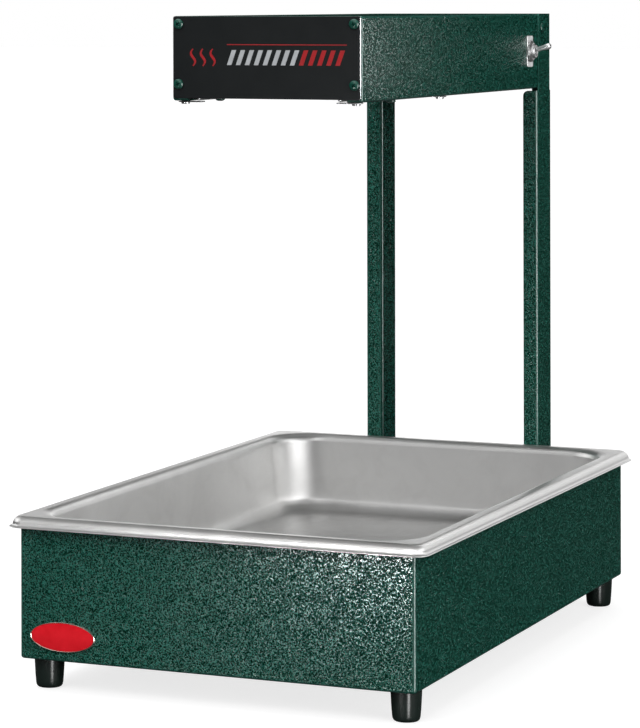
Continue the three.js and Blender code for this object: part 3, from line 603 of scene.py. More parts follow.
def sweep(path, radius, n=12, cap=True, round_end=False):
    """Round bar along a path; radius is a number or a function of (index, count, length so far)."""
    path = [Vector(p) for p in path]
    tang = []
    for i in range(len(path)):
        a, b = path[max(i - 1, 0)], path[min(i + 1, len(path) - 1)]
        tang.append((b - a).normalized())
    u = tang[0].orthogonal().normalized()
    rings, length = [], 0.0
    for i, p in enumerate(path):
        if i:
            length += (p - path[i - 1]).length
            u = (u - tang[i] * u.dot(tang[i])).normalized()
        v = tang[i].cross(u)
        r = radius(i, len(path), length) if callable(radius) else radius
        rings.append([tuple(p + (u * math.cos(2 * math.pi * k / n) + v * math.sin(2 * math.pi * k / n)) * r) for k in range(n)])
        if round_end and i in (0, len(path) - 1):
            sgn = -1 if i == 0 else 1
            extra = []
            for s in (0.35, 0.7, 0.93):
                rr = r * math.sqrt(1 - s * s)
                q = p + tang[i] * sgn * r * s
                extra.append([tuple(q + (u * math.cos(2 * math.pi * k / n) + v * math.sin(2 * math.pi * k / n)) * rr) for k in range(n)])
            if i == 0:
                rings = list(reversed(extra)) + rings
            else:
                rings += extra
    return loft(rings, cap0=cap, cap1=cap)


def join(*parts):
    V, F = [], []
    for v, f in parts:
        o = len(V)
        V += v
        F += [tuple(i + o for i in q) for q in f]
    return V, F


def rbox(x0, x1, y0, y1, z0, z1, r=0.5, seg=3):
    """Box with rounded edges, as a bevelled bmesh, returned as lists in mm."""
    bm = bmesh.new()
    bmesh.ops.create_cube(bm, size=1.0)
    for v in bm.verts:
        v.co = Vector(((x0 + x1) / 2 + v.co.x * (x1 - x0), (y0 + y1) / 2 + v.co.y * (y1 - y0), (z0 + z1) / 2 + v.co.z * (z1 - z0)))
    bmesh.ops.bevel(bm, geom=list(bm.edges), offset=r, segments=seg, profile=0.5, affect="EDGES", clamp_overlap=True)
    bm.verts.index_update()
    V = [tuple(v.co) for v in bm.verts]
    F = [tuple(v.index for v in f.verts) for f in bm.faces]
    bm.free()
    return V, F


def solid_mesh(name, verts, faces):
    """A closed mesh in metres from millimetre lists, with its faces pointing out."""
    me = bpy.data.meshes.new(name)
    me.from_pydata([P(*v) for v in verts], [], faces)
    bm = bmesh.new()
    bm.from_mesh(me)
    bmesh.ops.recalc_face_normals(bm, faces=bm.faces)
    bm.to_mesh(me)
    bm.free()
    return me


def cut(me, tools, op="DIFFERENCE"):
    """The mesh with each tool mesh cut from it, one after another."""
    for t in tools:
        a_ob = bpy.data.objects.new("tmp_a", me)
        c_ob = bpy.data.objects.new("tmp_c", t)
        for o in (a_ob, c_ob):
            bpy.context.scene.collection.objects.link(o)
        md = a_ob.modifiers.new("cut", "BOOLEAN")
        md.operation = op
        md.solver = "EXACT"
        md.object = c_ob
        me = bpy.data.meshes.new_from_object(a_ob.evaluated_get(bpy.context.evaluated_depsgraph_get()))
        bpy.data.objects.remove(a_ob)
        bpy.data.objects.remove(c_ob)
    return me


def box_mesh(x0, x1, y0, y1, z0, z1):
    v = [(x, y, z) for z in (z0, z1) for y in (y0, y1) for x in (x0, x1)]
    f = [(0, 2, 3, 1), (4, 5, 7, 6), (0, 1, 5, 4), (2, 6, 7, 3), (0, 4, 6, 2), (1, 3, 7, 5)]
    return solid_mesh("box", v, f)


def cyl_mesh(axis, a, b, lo, hi, r, n=32):
    """A cylinder along an axis; a and b are the other two coordinates in x, y, z order."""
    o, d = {"x": ((lo, a, b), (1, 0, 0)), "y": ((a, lo, b), (0, 1, 0)), "z": ((a, b, lo), (0, 0, 1))}[axis]
    v, f = lathe([(0, 0), (r, 0), (r, hi - lo), (0, hi - lo)], n, o, d)
    return solid_mesh("cyl", v, f)


def rbox_mesh(x0, x1, y0, y1, z0, z1, r, seg=3):
    return solid_mesh("rbox", *rbox(x0, x1, y0, y1, z0, z1, r, seg))


def tidy(me, angle=32.0):
    """Joins the stray vertices a cut leaves and marks its edges for shading."""
    bm = bmesh.new()
    bm.from_mesh(me)
    bmesh.ops.remove_doubles(bm, verts=bm.verts, dist=1e-6)
    bmesh.ops.dissolve_degenerate(bm, dist=1e-6, edges=bm.edges)
    bm.to_mesh(me)
    bm.free()
    shade(me, angle)
    return me


def weigh(ob):
    """Flat faces stay flat beside a rounded fold."""
    wn = ob.modifiers.new("normals", "WEIGHTED_NORMAL")
    wn.keep_sharp = True
    wn.weight = 100
    wn.mode = "FACE_AREA"
    return ob


def sheet_mods(ob, width=0.35, seg=2, angle=28.0, dissolve=True):
    """Rounds the edges of a CAD node without touching its mesh."""
    w = ob.modifiers.new("weld", "WELD")
    w.merge_threshold = 2e-6
    if dissolve:
        d = ob.modifiers.new("flat", "DECIMATE")
        d.decimate_type = "DISSOLVE"
        d.angle_limit = math.radians(0.6)
    b = ob.modifiers.new("edges", "BEVEL")
    b.width = width / 1000.0
    b.segments = seg
    b.limit_method = "ANGLE"
    b.angle_limit = math.radians(angle)
    b.harden_normals = False
    b.use_clamp_overlap = True
    b.miter_outer = "MITER_ARC"
    for p in ob.data.polygons:
        p.use_smooth = True
    wn = ob.modifiers.new("normals", "WEIGHTED_NORMAL")
    wn.keep_sharp = False
    wn.weight = 80


def folds(ob, edge_faces=None):
    """Gives the rounded folds of a sheet piece the fold finish, and paints a highlight line onto its cut edges in pale
    green.
    """
    me = ob.data
    me.materials.append(FOLD)
    me.materials.append(CUT_EDGE_HIGHLIGHT_PAINT)
    for p in me.polygons:
        n = p.normal
        if max(abs(n.x), abs(n.y), abs(n.z)) < 0.985:
            p.material_index = 1
        elif edge_faces and edge_faces(p.center * 1000.0, n):
            p.material_index = 2
    return ob


# =====================================================================================
# materials on every CAD node that stays
# =====================================================================================
for name, ob in NODES.items():
    ob.data.materials.clear()
    ob.data.materials.append(SLOT_MATS[NODE_SLOT[name]])
for n in ("wire_guard", "guard_clip_front_left", "guard_clip_front_right", "guard_clip_middle_left", "guard_clip_middle_right"):
    NODES[n].data.materials.clear()
    NODES[n].data.materials.append(WIREMETAL)
for n in ("rear_end_plate", "heat_baffle", "base_bottom_cover", "base_support_tray", "post_spacer_left", "post_spacer_right",
          "reflector", "plug_line_blade", "plug_neutral_blade", "terminal_block", "base_thermostat", "base_blanket_heater",
          "guard_clip_front_left", "guard_clip_front_right", "guard_clip_middle_left", "guard_clip_middle_right"):
    sheet_mods(NODES[n], 0.3, 2, 30.0)
for n in ("base_insulation_pad",):
    sheet_mods(NODES[n], 2.0, 3, 40.0)

# =====================================================================================
# base shell: one folded sheet, walls with a rolled top edge and a flange underneath
# =====================================================================================
b_lo, b_hi = box_mm("base_shell")
bw, bd, bz0, bz1 = b_hi.x, (b_hi.y - b_lo.y) / 2, b_lo.z, b_hi.z
bcy = (b_hi.y + b_lo.y) / 2
T = 1.2


def base_profile():
    """(inset, z, corner radius) round the sheet's section, outer face first."""
    pr = []
    flange = 26.0
    Rb, Rt, Rc = 2.0, 1.3, 2.4
    pr.append((flange, bz0, 6.0))
    pr.append((flange / 2, bz0, 4.0))
    for d, z in arc(Rb, bz0 + Rb, Rb, 270, 180, 6):
        pr.append((d, z, max(Rc - d * 0.4, 0.6)))
    for k in range(1, 6):
        pr.append((0, bz0 + Rb + (bz1 - Rt - bz0 - Rb) * k / 6, Rc))
    for d, z in arc(Rt, bz1 - Rt, Rt, 180, 90, 5):
        pr.append((d, z, max(Rc - d * 0.6, 0.6)))
    pr.append((2.3, bz1, 1.2))
    pr.append((2.75, bz1 - 0.35, 1.0))
    pr.append((2.8, bz1 - 1.2, 1.0))
    pr.append((T + 0.2, bz1 - 1.35, 1.2))
    pr.append((T, bz1 - 1.6, 1.2))
    pr.append((T, bz0 + Rb, 1.2))
    pr.append((T + 0.8, bz0 + T + 0.1, 1.0))
    pr.append((flange / 2, bz0 + T, 4.0))
    pr.append((flange, bz0 + T, 6.0))
    return pr


rings = [rr_ring(bw - d, bd - d, r, z, 0, bcy, 8) for d, z, r in base_profile()]
v, f = loft(rings, closed_loop=True)
folds(make("base_shell_folded", v, f, GREEN, stands=["base_shell"], angle=40))

# =====================================================================================
# food pan: deep-drawn stainless, rolled rim, flared lip
# =====================================================================================
p_lo, p_hi = box_mm("food_pan")
pw, pl = p_hi.x, (p_hi.y - p_lo.y) / 2
pcy = (p_hi.y + p_lo.y) / 2
pz0, pz1 = p_lo.z, p_hi.z


def smooth_profile(points, per=6):
    """Catmull-Rom through (inset, z, r) points, for a drawn-metal section."""
    c = catmull([Vector(p) for p in points], per)
    return [tuple(q) for q in c]


inner = [(36.5, pz0 + 1.0, 26.0), (31.5, pz0 + 1.7, 28.8), (27.6, pz0 + 4.2, 31.4), (24.9, pz0 + 8.0, 33.4), (23.4, pz0 + 12.4, 34.4),
         (21.6, pz0 + 26.0, 35.4), (19.9, pz0 + 40.0, 36.4), (17.9, pz0 + 56.5, 37.3)]
lipin = [(17.3, pz0 + 60.0, 37.6), (16.3, pz0 + 62.6, 37.2), (14.6, pz0 + 64.3, 36.0), (12.6, pz1, 33.0)]
flat = [(9.6, pz1, 20.0), (6.9, pz1 - 0.05, 8.8)]
roll = [(5.2, pz1 - 0.75, 9.2), (3.7, pz1 - 2.1, 9.8), (2.75, pz1 - 3.9, 10.3), (2.35, pz1 - 5.5, 10.6), (1.75, pz1 - 6.55, 11.0), (0.75, pz1 - 6.95, 11.6), (0.12, pz1 - 7.3, 12.0)]
prof = smooth_profile(inner + lipin, 4) + smooth_profile(flat + roll, 4)
under = [(0.05, pz1 - 7.65, 12.0), (0.4, pz1 - 7.9, 11.8), (1.6, pz1 - 7.75, 11.0), (2.9, pz1 - 7.1, 9.7), (3.4, pz1 - 5.2, 9.4), (4.0, pz1 - 3.4, 9.0), (5.2, pz1 - 1.7, 8.3), (7.0, pz1 - 0.95, 7.6),
         (12.0, pz1 - 0.9, 33.0), (14.2, pz1 - 1.6, 36.4), (15.7, pz1 - 3.3, 38.0), (16.6, pz1 - 5.8, 38.4), (17.0, pz1 - 8.6, 38.2), (19.0, pz0 + 40.0, 37.2), (20.7, pz0 + 26.0, 36.2), (22.5, pz0 + 12.0, 35.2), (24.0, pz0 + 7.3, 34.2), (26.9, pz0 + 3.2, 32.2), (31.2, pz0 + 0.7, 29.4), (36.5, pz0, 26.0)]
centre0 = [(60.0, pz0 + 0.82, 12.0), (100.0, pz0 + 0.74, 8.0)]
rings = [rr_ring(pw - d, pl - d, r, z, 0, pcy, 14) for d, z, r in list(reversed(centre0)) + prof + under]
v, f = loft(rings)
make("food_pan_drawn", v, f, STEEL, body="pan", stands=["food_pan"], angle=50)

# =====================================================================================
# lamp housing: inverted channel with bottom flanges and turned-in ends
# =====================================================================================
h_lo, h_hi = box_mm("lamp_housing")
hw, hz0, hz1, hy0, hy1 = h_hi.x, h_lo.z, h_hi.z, h_lo.y, h_hi.y
FL = 12.5          # bottom flange and end flange width
me = rbox_mesh(-hw, hw, hy0, hy1, hz0, hz1, 2.1, 6)
me = cut(me, [rbox_mesh(-hw + T, hw - T, hy0 + T, hy1 - T, hz0 + T, hz1 - T, 0.9, 3),
              box_mesh(-hw + FL, hw - FL, hy0 - 5, 470.0, hz0 - 5, hz0 + 5),
              box_mesh(-hw + FL, hw - FL, hy0 - 5, hy0 + 5, hz0 - 5, hz1 - 9),
              box_mesh(-hw + FL, hw - FL, hy1 - 5, hy1 + 5, hz0 + 8, hz1 - 9)])
folds(from_mesh("lamp_housing_folded", tidy(me), GREEN, stands=["lamp_housing"]))

# =====================================================================================
# posts: folded channels, flanges cut away beside the housing
# =====================================================================================
for side, sg in (("left", -1), ("right", 1)):
    lo, hi = box_mm(f"post_{side}")
    xo = hi.x if sg > 0 else -lo.x          # outer face
    xi = -hi.x if sg < 0 else lo.x          # free edge of the flanges
    y0, y1, z0, z1 = lo.y, hi.y, lo.z, hi.z
    Ro, Ri = 2.6, 1.4
    line = [(xi, y0)]
    line += [(xo - Ro + Ro * math.cos(math.radians(t)), y0 + Ro + Ro * math.sin(math.radians(t))) for t in range(-90, 1, 15)]
    line += [(xo - Ro + Ro * math.cos(math.radians(t)), y1 - Ro + Ro * math.sin(math.radians(t))) for t in range(0, 91, 15)]
    line += [(xi, y1), (xi, y1 - T)]
    line += [(xo - Ro + Ri * math.cos(math.radians(t)), y1 - Ro + Ri * math.sin(math.radians(t))) for t in range(90, -1, -15)]
    line += [(xo - Ro + Ri * math.cos(math.radians(t)), y0 + Ro + Ri * math.sin(math.radians(t))) for t in range(0, -91, -15)]
    line += [(xi, y0 + T)]
    rings = [[(sg * x, y, z) for x, y in line] for z in (z0, z1)]
    me = solid_mesh("post", *loft(rings))
    zn = 427.4
    # the notch keeps a round fillet where the flange meets the web, and a round outer corner on the flange
    notch = []
    for (ya, yb) in ((y0 - 6, y0 + 4), (y1 - 4, y1 + 6)):
        notch.append(box_mesh(min(sg * 50, sg * 90), max(sg * 50, sg * 90), ya, yb, zn, z1 + 6))
    rc = 4.5
    tri = [(xi - 1, zn - rc), (xi, zn - rc)] + [(xi + rc - rc * math.cos(math.radians(t)), zn - rc + rc * math.sin(math.radians(t))) for t in range(10, 91, 10)] + [(xi + rc, zn + 1), (xi - 1, zn + 1)]
    v, f = loft([[(sg * x, y, z) for x, z in tri] for y in (y0 - 3, y1 + 3)])
    notch.append(solid_mesh("corner", v, f))
    me = cut(me, notch)
    # the free edges of the flanges and the cut edges above the notch get the painted highlight
    folds(from_mesh(f"post_{side}_channel", tidy(me), GREEN, stands=[f"post_{side}"]),
          lambda c, n, sg=sg, xi=xi: (n.x * sg < -0.9 and abs(abs(c.x) - xi) < 0.2) or (n.y < -0.9 and c.z > 428.5))

# =====================================================================================
# front face plate with a plain printed band
# =====================================================================================
f_lo, f_hi = box_mm("front_face_plate")
fcz = (f_lo.z + f_hi.z) / 2
ph, pz = f_hi.x, (f_hi.z - f_lo.z) / 2


def plate_ring(inset, y, r):
    return [(x, y, z) for x, z, _ in rr_ring(ph - inset, pz - inset, r, 0, 0, fcz, 6)]


rings = [plate_ring(0.35, f_lo.y, 1.2), plate_ring(0.1, f_lo.y + 0.1, 1.3), plate_ring(0.0, f_lo.y + 0.35, 1.4), plate_ring(0.0, f_hi.y - 0.3, 1.4), plate_ring(0.3, f_hi.y, 1.2)]
rings = [plate_ring(20.0, f_lo.y, 0.6)] + rings
v, f = loft(rings)
side0 = 3 * len(rings[0])
make("front_face_plate_coated", v, f, PLATE, stands=["front_face_plate"], angle=40, mats=[PLATE, ALU],
     face_mats=[1 if side0 <= i < side0 + len(rings[0]) else 0 for i in range(len(f))])


def bar(x0, x1, z0, z1, name, mat, rad=None):
    """A printed bar on the plate: rounded ends, 0.08 mm proud."""
    rad = rad if rad is not None else (z1 - z0) / 2 * 0.98
    cx, cz = (x0 + x1) / 2, (z0 + z1) / 2
    ring = lambda ins, y: [(x, y, z) for x, z, _ in rr_ring((x1 - x0) / 2 - ins, (z1 - z0) / 2 - ins, max(rad - ins, 0.02), 0, cx, cz, 6)]
    y = f_lo.y
    v, f = loft([ring(0.06, y - 0.08), ring(0.0, y - 0.05), ring(0.0, y + 0.1)])
    return make(name, v, f, mat, angle=40)


def slab(pts, name, mat):
    """A thin printed patch on the plate from its (x, z) outline."""
    cx = sum(p[0] for p in pts) / len(pts)
    cz = sum(p[1] for p in pts) / len(pts)
    y = f_lo.y
    ring = lambda k, yy: [(cx + (x - cx) * k, yy, cz + (z - cz) * k) for x, z in pts]
    v, f = loft([ring(0.97, y - 0.08), ring(1.0, y - 0.05), ring(1.0, y + 0.1)])
    return v, f


def slants(x0, count, pitch, width, z0, z1, lean, name, mat):
    """A row of leaning bars, a plain decorative band."""
    parts = []
    for i in range(count):
        x = x0 + i * pitch
        parts.append(slab([(x, z0), (x + width, z0), (x + width + lean, z1), (x + lean, z1)], name, mat))
    v, f = join(*parts)
    return make(name, v, f, mat, angle=40)


BZ0, BZ1 = fcz - 5.6, fcz + 5.6
slants(-31.0, 8, 7.2, 3.6, BZ0, BZ1, 4.0, "print_bars_silver", INK_SILVER)
slants(-31.0 + 8 * 7.2, 5, 7.2, 3.6, BZ0, BZ1, 4.0, "print_bars_red", INK_RED)
bar(-31.0, 64.5, fcz + 9.3, fcz + 9.95, "print_line_red", INK_RED)


def wave(xc, name):
    """One rising heat line: a plain S-curve, as on any heating symbol."""
    pts = []
    n = 32
    for k in range(n + 1):
        t = k / n
        pts.append(Vector((xc + 1.7 * math.sin(2 * math.pi * t), 0, BZ0 - 0.8 + (BZ1 - BZ0 + 1.6) * t)))
    wd = 1.0
    V, F = [], []
    y = f_lo.y
    for k, p in enumerate(pts):
        a, b = pts[max(k - 1, 0)], pts[min(k + 1, len(pts) - 1)]
        t = (b - a).normalized()
        nrm = Vector((t.z, 0, -t.x))
        w = wd * (0.35 + 0.65 * math.sin(math.pi * min(max(k / n, 0.06), 0.94)))
        for sd, yy in ((-1, y + 0.1), (-1, y - 0.06), (1, y - 0.06), (1, y + 0.1)):
            q = p + nrm * w * sd
            V.append((q.x, yy, q.z))
    for k in range(len(pts) - 1):
        a, b = 4 * k, 4 * k + 4
        for i in range(4):
            j = (i + 1) % 4
            F.append((a + i, a + j, b + j, b + i))
    F.append((3, 2, 1, 0))
    e = 4 * (len(pts) - 1)
    F.append((e, e + 1, e + 2, e + 3))
    return make(name, V, F, INK_RED, angle=40)


for i, x in enumerate((-58.5, -50.5, -42.5)):
    wave(x, f"print_heat_line_{i + 1}")

# =====================================================================================
# badge: red enamel oval in a light metal rim, no mark
# =====================================================================================
g_lo, g_hi = box_mm("base_badge")
gcx, gcz = (g_lo.x + g_hi.x) / 2, (g_lo.z + g_hi.z) / 2
ga, gb, gd = (g_hi.x - g_lo.x) / 2, (g_hi.z - g_lo.z) / 2, g_hi.y - g_lo.y
N = 72


def oval(inset, depth):
    return [(gcx + (ga - inset) * math.cos(2 * math.pi * k / N), g_hi.y - depth, gcz + (gb - inset) * math.sin(2 * math.pi * k / N)) for k in range(N)]


rim = [oval(0.0, 0.0), oval(0.0, gd * 0.62), oval(0.12, gd * 0.80), oval(0.35, gd * 0.92), oval(0.62, gd * 0.92), oval(0.85, gd * 0.80), oval(0.95, gd * 0.60)]
v1, f1 = loft(rim, cap0=True, cap1=False)
dome = [oval(0.95, gd * 0.60)]
for s in (1.1, 1.6, 2.6, 4.0, 6.0, 8.4, 9.9):
    dome.append(oval(s, gd * (0.60 + 0.40 * math.sqrt(min(1.0, (s - 0.9) / 9.0)))))
v2, f2 = loft(dome, cap0=False, cap1=True)
V, F = join((v1, f1), (v2, f2))
make("base_badge_oval", V, F, RED, stands=["base_badge"], angle=45, mats=[RIMMETAL, RED], face_mats=[0] * len(f1) + [1] * len(f2))

# =====================================================================================
# feet
# =====================================================================================
for fn in ("front_left", "front_right", "rear_left", "rear_right"):
    lo, hi = box_mm(f"foot_{fn}")
    cx, cy, h = (lo.x + hi.x) / 2, (lo.y + hi.y) / 2, hi.z
    R = (hi.x - lo.x) / 2 * 1.013
    pr = [(4.6, 6.4), (4.6, 0.5), (5.0, 0.05), (7.4, 0.0)]
    pr += [(a, b) for a, b in [(8.2, 0.18), (8.9, 0.6), (9.45, 1.3), (9.8, 2.2), (10.05, 3.6), (10.25, 6.0)]]
    pr += [(10.25 + (R - 10.35) * ((z - 6.0) / (h - 7.2)) ** 0.8, z) for z in (8, 10.5, 13, 15.5, 18, 20, h - 1.2)]
    pr += [(R - 0.12, h - 0.7), (R - 0.45, h - 0.25), (R - 1.1, h), (2.3, h), (2.3, 6.4)]
    v, f = lathe(pr, 56, (cx, cy, 0), (0, 0, 1))
    make(f"foot_{fn}_moulded", v, f, FOOT, stands=[f"foot_{fn}"], angle=50)

# =====================================================================================
# screws: domed head with a cross recess, shank with a few thread rings
# =====================================================================================
def screw_mesh(R, H, r, length, key):
    pr = [(0, -length), (r * 0.6, -length), (r * 0.95, -length + 0.8)]
    z = -length + 1.0
    while z < -0.9:
        pr += [(r * 0.84, z), (r, z + 0.28), (r, z + 0.36), (r * 0.84, z + 0.62)]
        z += 0.8
    pr += [(r * 0.9, -0.05), (R * 0.97, 0.0), (R, 0.15), (R, H * 0.26)]
    for k in range(1, 9):
        a = math.radians(90 * k / 8)
        pr.append((R * math.cos(a) ** 0.82 if k < 8 else 0.0, H * 0.26 + H * 0.74 * math.sin(a)))
    v, f = lathe(pr, 40, (0, 0, 0), (0, 0, 1))
    me = bpy.data.meshes.new("head_" + key)
    me.from_pydata([Vector(q) / 1000.0 for q in v], [], f)
    bm = bmesh.new(); bm.from_mesh(me); bmesh.ops.recalc_face_normals(bm, faces=bm.faces); bm.to_mesh(me); bm.free()
    # cross recess cutter: two tapered blades
    V, F = [], []
    for a in (0, 90):
        c, s = math.cos(math.radians(a)), math.sin(math.radians(a))
        o = len(V)
        for zz, L, w in ((H + 0.6, R * 0.58, 0.42), (H * 0.10, R * 0.20, 0.30)):
            for sx, sy in ((-1, -1), (1, -1), (1, 1), (-1, 1)):
                x, y = sx * L, sy * w
                V.append(((x * c - y * s) / 1000, (x * s + y * c) / 1000, zz / 1000))
        F += [(o + 3, o + 2, o + 1, o), (o + 4, o + 5, o + 6, o + 7)]
        for i in range(4):
            j = (i + 1) % 4
            F.append((o + i, o + j, o + 4 + j, o + 4 + i))
    out = me
    for part in (0, 1):
        cm = bpy.data.meshes.new("cut")
        vv = V[part * 8:part * 8 + 8]
        ff = [tuple(i - part * 8 for i in q) for q in F[part * 6:part * 6 + 6]]
        cm.from_pydata(vv, [], ff)
        bm = bmesh.new(); bm.from_mesh(cm); bmesh.ops.recalc_face_normals(bm, faces=bm.faces); bm.to_mesh(cm); bm.free()
        a_ob = bpy.data.objects.new("tmp_a", out)
        c_ob = bpy.data.objects.new("tmp_c", cm)
        for o in (a_ob, c_ob):
            bpy.context.scene.collection.objects.link(o)
        md = a_ob.modifiers.new("cut", "BOOLEAN")
        md.operation = "DIFFERENCE"
        md.solver = "EXACT"
        md.object = c_ob
        dg = bpy.context.evaluated_depsgraph_get()
        out = bpy.data.meshes.new_from_object(a_ob.evaluated_get(dg))
        bpy.data.objects.remove(a_ob)
        bpy.data.objects.remove(c_ob)
    shade(out, 38)
    return out


def seat(node, axis):
    """The box of a screw node, as its low and high corners."""
    lo, hi = box_mm(node)
    return lo, hi


SCREWS = {}


def place_screw(node, direction, R, H, r, length, mat, turn=0.0):
    key = f"{R}_{H}_{r}_{length}"
    if key not in SCREWS:
        SCREWS[key] = screw_mesh(R, H, r, length, key)
    lo, hi = box_mm(node)
    d = Vector(direction)
    c = (lo + hi) / 2
    i = max(range(3), key=lambda k: abs(d[k]))
    top = hi[i] if d[i] > 0 else lo[i]
    o = Vector(c)
    o[i] = top - d[i] * H
    q = Vector((0, 0, 1)).rotation_difference(d)
    mtx = Matrix.Translation(P(*o)) @ q.to_matrix().to_4x4() @ Matrix.Rotation(math.radians(turn), 4, "Z")
    from_mesh(node + "_cross_head", SCREWS[key], mat, stands=[node], matrix=mtx)


turns = {"face_plate_screw_lower_left": 18, "face_plate_screw_lower_right": 52, "face_plate_screw_upper_left": 35, "face_plate_screw_upper_right": 8}
for n, t in turns.items():
    place_screw(n, (0, -1, 0), 3.9, 2.5, 1.8, 7, PAINTED, t)
for k, s in enumerate(("left", "right")):
    place_screw(f"rear_plate_screw_{s}", (0, 1, 0), 3.9, 2.4, 1.8, 7, PAINTED, 25 + 40 * k)
    place_screw(f"post_lamp_screw_{s}", (-1 if s == "left" else 1, 0, 0), 3.9, 2.4, 1.9, 9, PAINTED, 12 + 30 * k)
    place_screw(f"reflector_screw_{s}", (0, 0, -1), 3.7, 2.3, 1.8, 7, PAINTED, 60 * k)
    for j, h in enumerate(("lower", "upper")):
        place_screw(f"post_base_screw_{h}_{s}", (0, 1, 0), 4.0, 2.6, 2.2, 17, ZINC, 33 * j + 17 * k)
    for j, e in enumerate(("front", "rear")):
        place_screw(f"foot_screw_{e}_{s}", (0, 0, -1), 4.0, 2.6, 2.0, 24, ZINC, 47 * j + 21 * k)

# =====================================================================================
# toggle switch
# =====================================================================================
t_lo, t_hi = box_mm("toggle_ring_nut")
ty, tz = (t_lo.y + t_hi.y) / 2, (t_lo.z + t_hi.z) / 2
tx = t_lo.x
# knurled ring nut: a round nut with a conical face and two spanner notches worth of fluting
NK = 96


def nut_ring(r, x, knurl):
    return [(x, ty + (r - knurl * (0.5 + 0.5 * math.cos(24 * 2 * math.pi * k / NK))) * math.cos(2 * math.pi * k / NK),
             tz + (r - knurl * (0.5 + 0.5 * math.cos(24 * 2 * math.pi * k / NK))) * math.sin(2 * math.pi * k / NK)) for k in range(NK)]


rings = [nut_ring(6.15, tx, 0), nut_ring(8.9, tx, 0.05), nut_ring(9.15, tx + 0.2, 0.28), nut_ring(9.15, tx + 1.1, 0.28), nut_ring(8.75, tx + 1.45, 0.1),
         nut_ring(7.9, tx + 2.0, 0), nut_ring(7.3, tx + 2.55, 0), nut_ring(6.9, tx + 2.8, 0), nut_ring(6.35, tx + 2.85, 0), nut_ring(6.15, tx + 2.6, 0)]
v, f = loft(rings, closed_loop=True)
make("toggle_ring_nut_knurled", v, f, CHROME, stands=["toggle_ring_nut"], angle=30)

# legend plate, rounded corners, pressed edge
l_lo, l_hi = box_mm("toggle_legend_plate")
lw, lh = (l_hi.y - l_lo.y) / 2, (l_hi.z - l_lo.z) / 2
lx0, lx1 = l_lo.x, l_hi.x


def legend_ring(ins, x, r):
    return [(x, ty + a, tz + b) for a, b, _ in rr_ring(lw - ins, lh - ins, max(r - ins, 0.3), 0, 0, 0, 6)]


rings = [legend_ring(0, lx0, 1.6), legend_ring(0, lx1 - 0.3, 1.6), legend_ring(0.12, lx1 - 0.08, 1.6), legend_ring(0.35, lx1, 1.6), legend_ring(4.0, lx1, 1.6)]
v, f = loft(rings)
make("toggle_legend_plate_pressed", v, f, CHROME, stands=["toggle_legend_plate"], angle=30)

# body and threaded bushing
s_lo, s_hi = box_mm("toggle_switch_body")
bx1 = s_hi.x
pr = [(5.0, 61.0), (5.9, 61.0)]
x = 61.6
while x < bx1 - 1.2:
    pr += [(5.55, x), (5.9, x + 0.3), (5.9, x + 0.42), (5.55, x + 0.72)]
    x += 0.75
pr += [(5.6, bx1 - 0.6), (5.3, bx1 - 0.15), (5.0, bx1), (4.5, bx1), (4.2, bx1 - 0.35), (4.0, bx1 - 3.0), (3.6, bx1 - 5.5), (3.5, 70.0), (5.0, 70.0)]
bush = lathe(pr, 48, (0, ty, tz), (1, 0, 0))
case = rbox(48, 73.8, ty - 9, ty + 9, tz - 14, tz + 14, 0.8, 3)
term = [rbox(41, 48.2, ty - 3, ty + 3, tz + dz - 0.5, tz + dz + 0.5, 0.2, 1) for dz in (-7, 7)]
v, f = join(bush, case, *term)
make("toggle_switch_body_threaded", v, f, CHROME, stands=["toggle_switch_body"], angle=35)

# bat lever
lj = [j for j in frame["joints"] if j["child"] == "toggle_lever"][0]
pv = Vector(lj["pos_m"]) * 1000.0
pv.y -= YS
v_lo, v_hi = box_mm("toggle_lever")
ang = math.radians(15.0)
d = Vector((math.cos(ang), 0, math.sin(ang)))
pr = [(0, -2.3)] + [(2.3 * math.cos(math.radians(a)), 2.3 * math.sin(math.radians(a))) for a in (-60, -35, -10, 15, 38)]
pr += [(1.85, 2.3), (1.80, 3.2), (1.88, 5.0), (1.98, 7.0), (2.12, 9.5), (2.28, 12.0), (2.44, 14.4), (2.50, 16.0)]
pr += [(2.50 * math.cos(math.radians(a)), 16.55 + 2.45 * math.sin(math.radians(a))) for a in (12, 28, 45, 62, 78)] + [(0, 19.0)]
v, f = lathe(pr, 40, tuple(pv), tuple(d))
make("toggle_lever_bat", v, f, CHROME, body="toggle_lever", stands=["toggle_lever"], angle=50)

# =====================================================================================
# wire guard
# =====================================================================================
w_lo, w_hi = box_mm("wire_guard")
rz = w_lo.z + 1.5
parts = []
for s in (-1, 1):
    parts.append(sweep([(s * 56.5, w_lo.y + 1.5 + (w_hi.y - w_lo.y - 3.0) * k / 6, rz) for k in range(7)], 1.5, 16, round_end=True))
for i in range(12):
    y = w_lo.y + 5.0 + i * 31.5
    parts.append(sweep([(-57.6 + 115.2 * k / 8, y, rz + 1.9) for k in range(9)], 1.1, 12, round_end=True))
v, f = join(*parts)
make("wire_guard_welded", v, f, WIREMETAL, stands=["wire_guard"], angle=60)

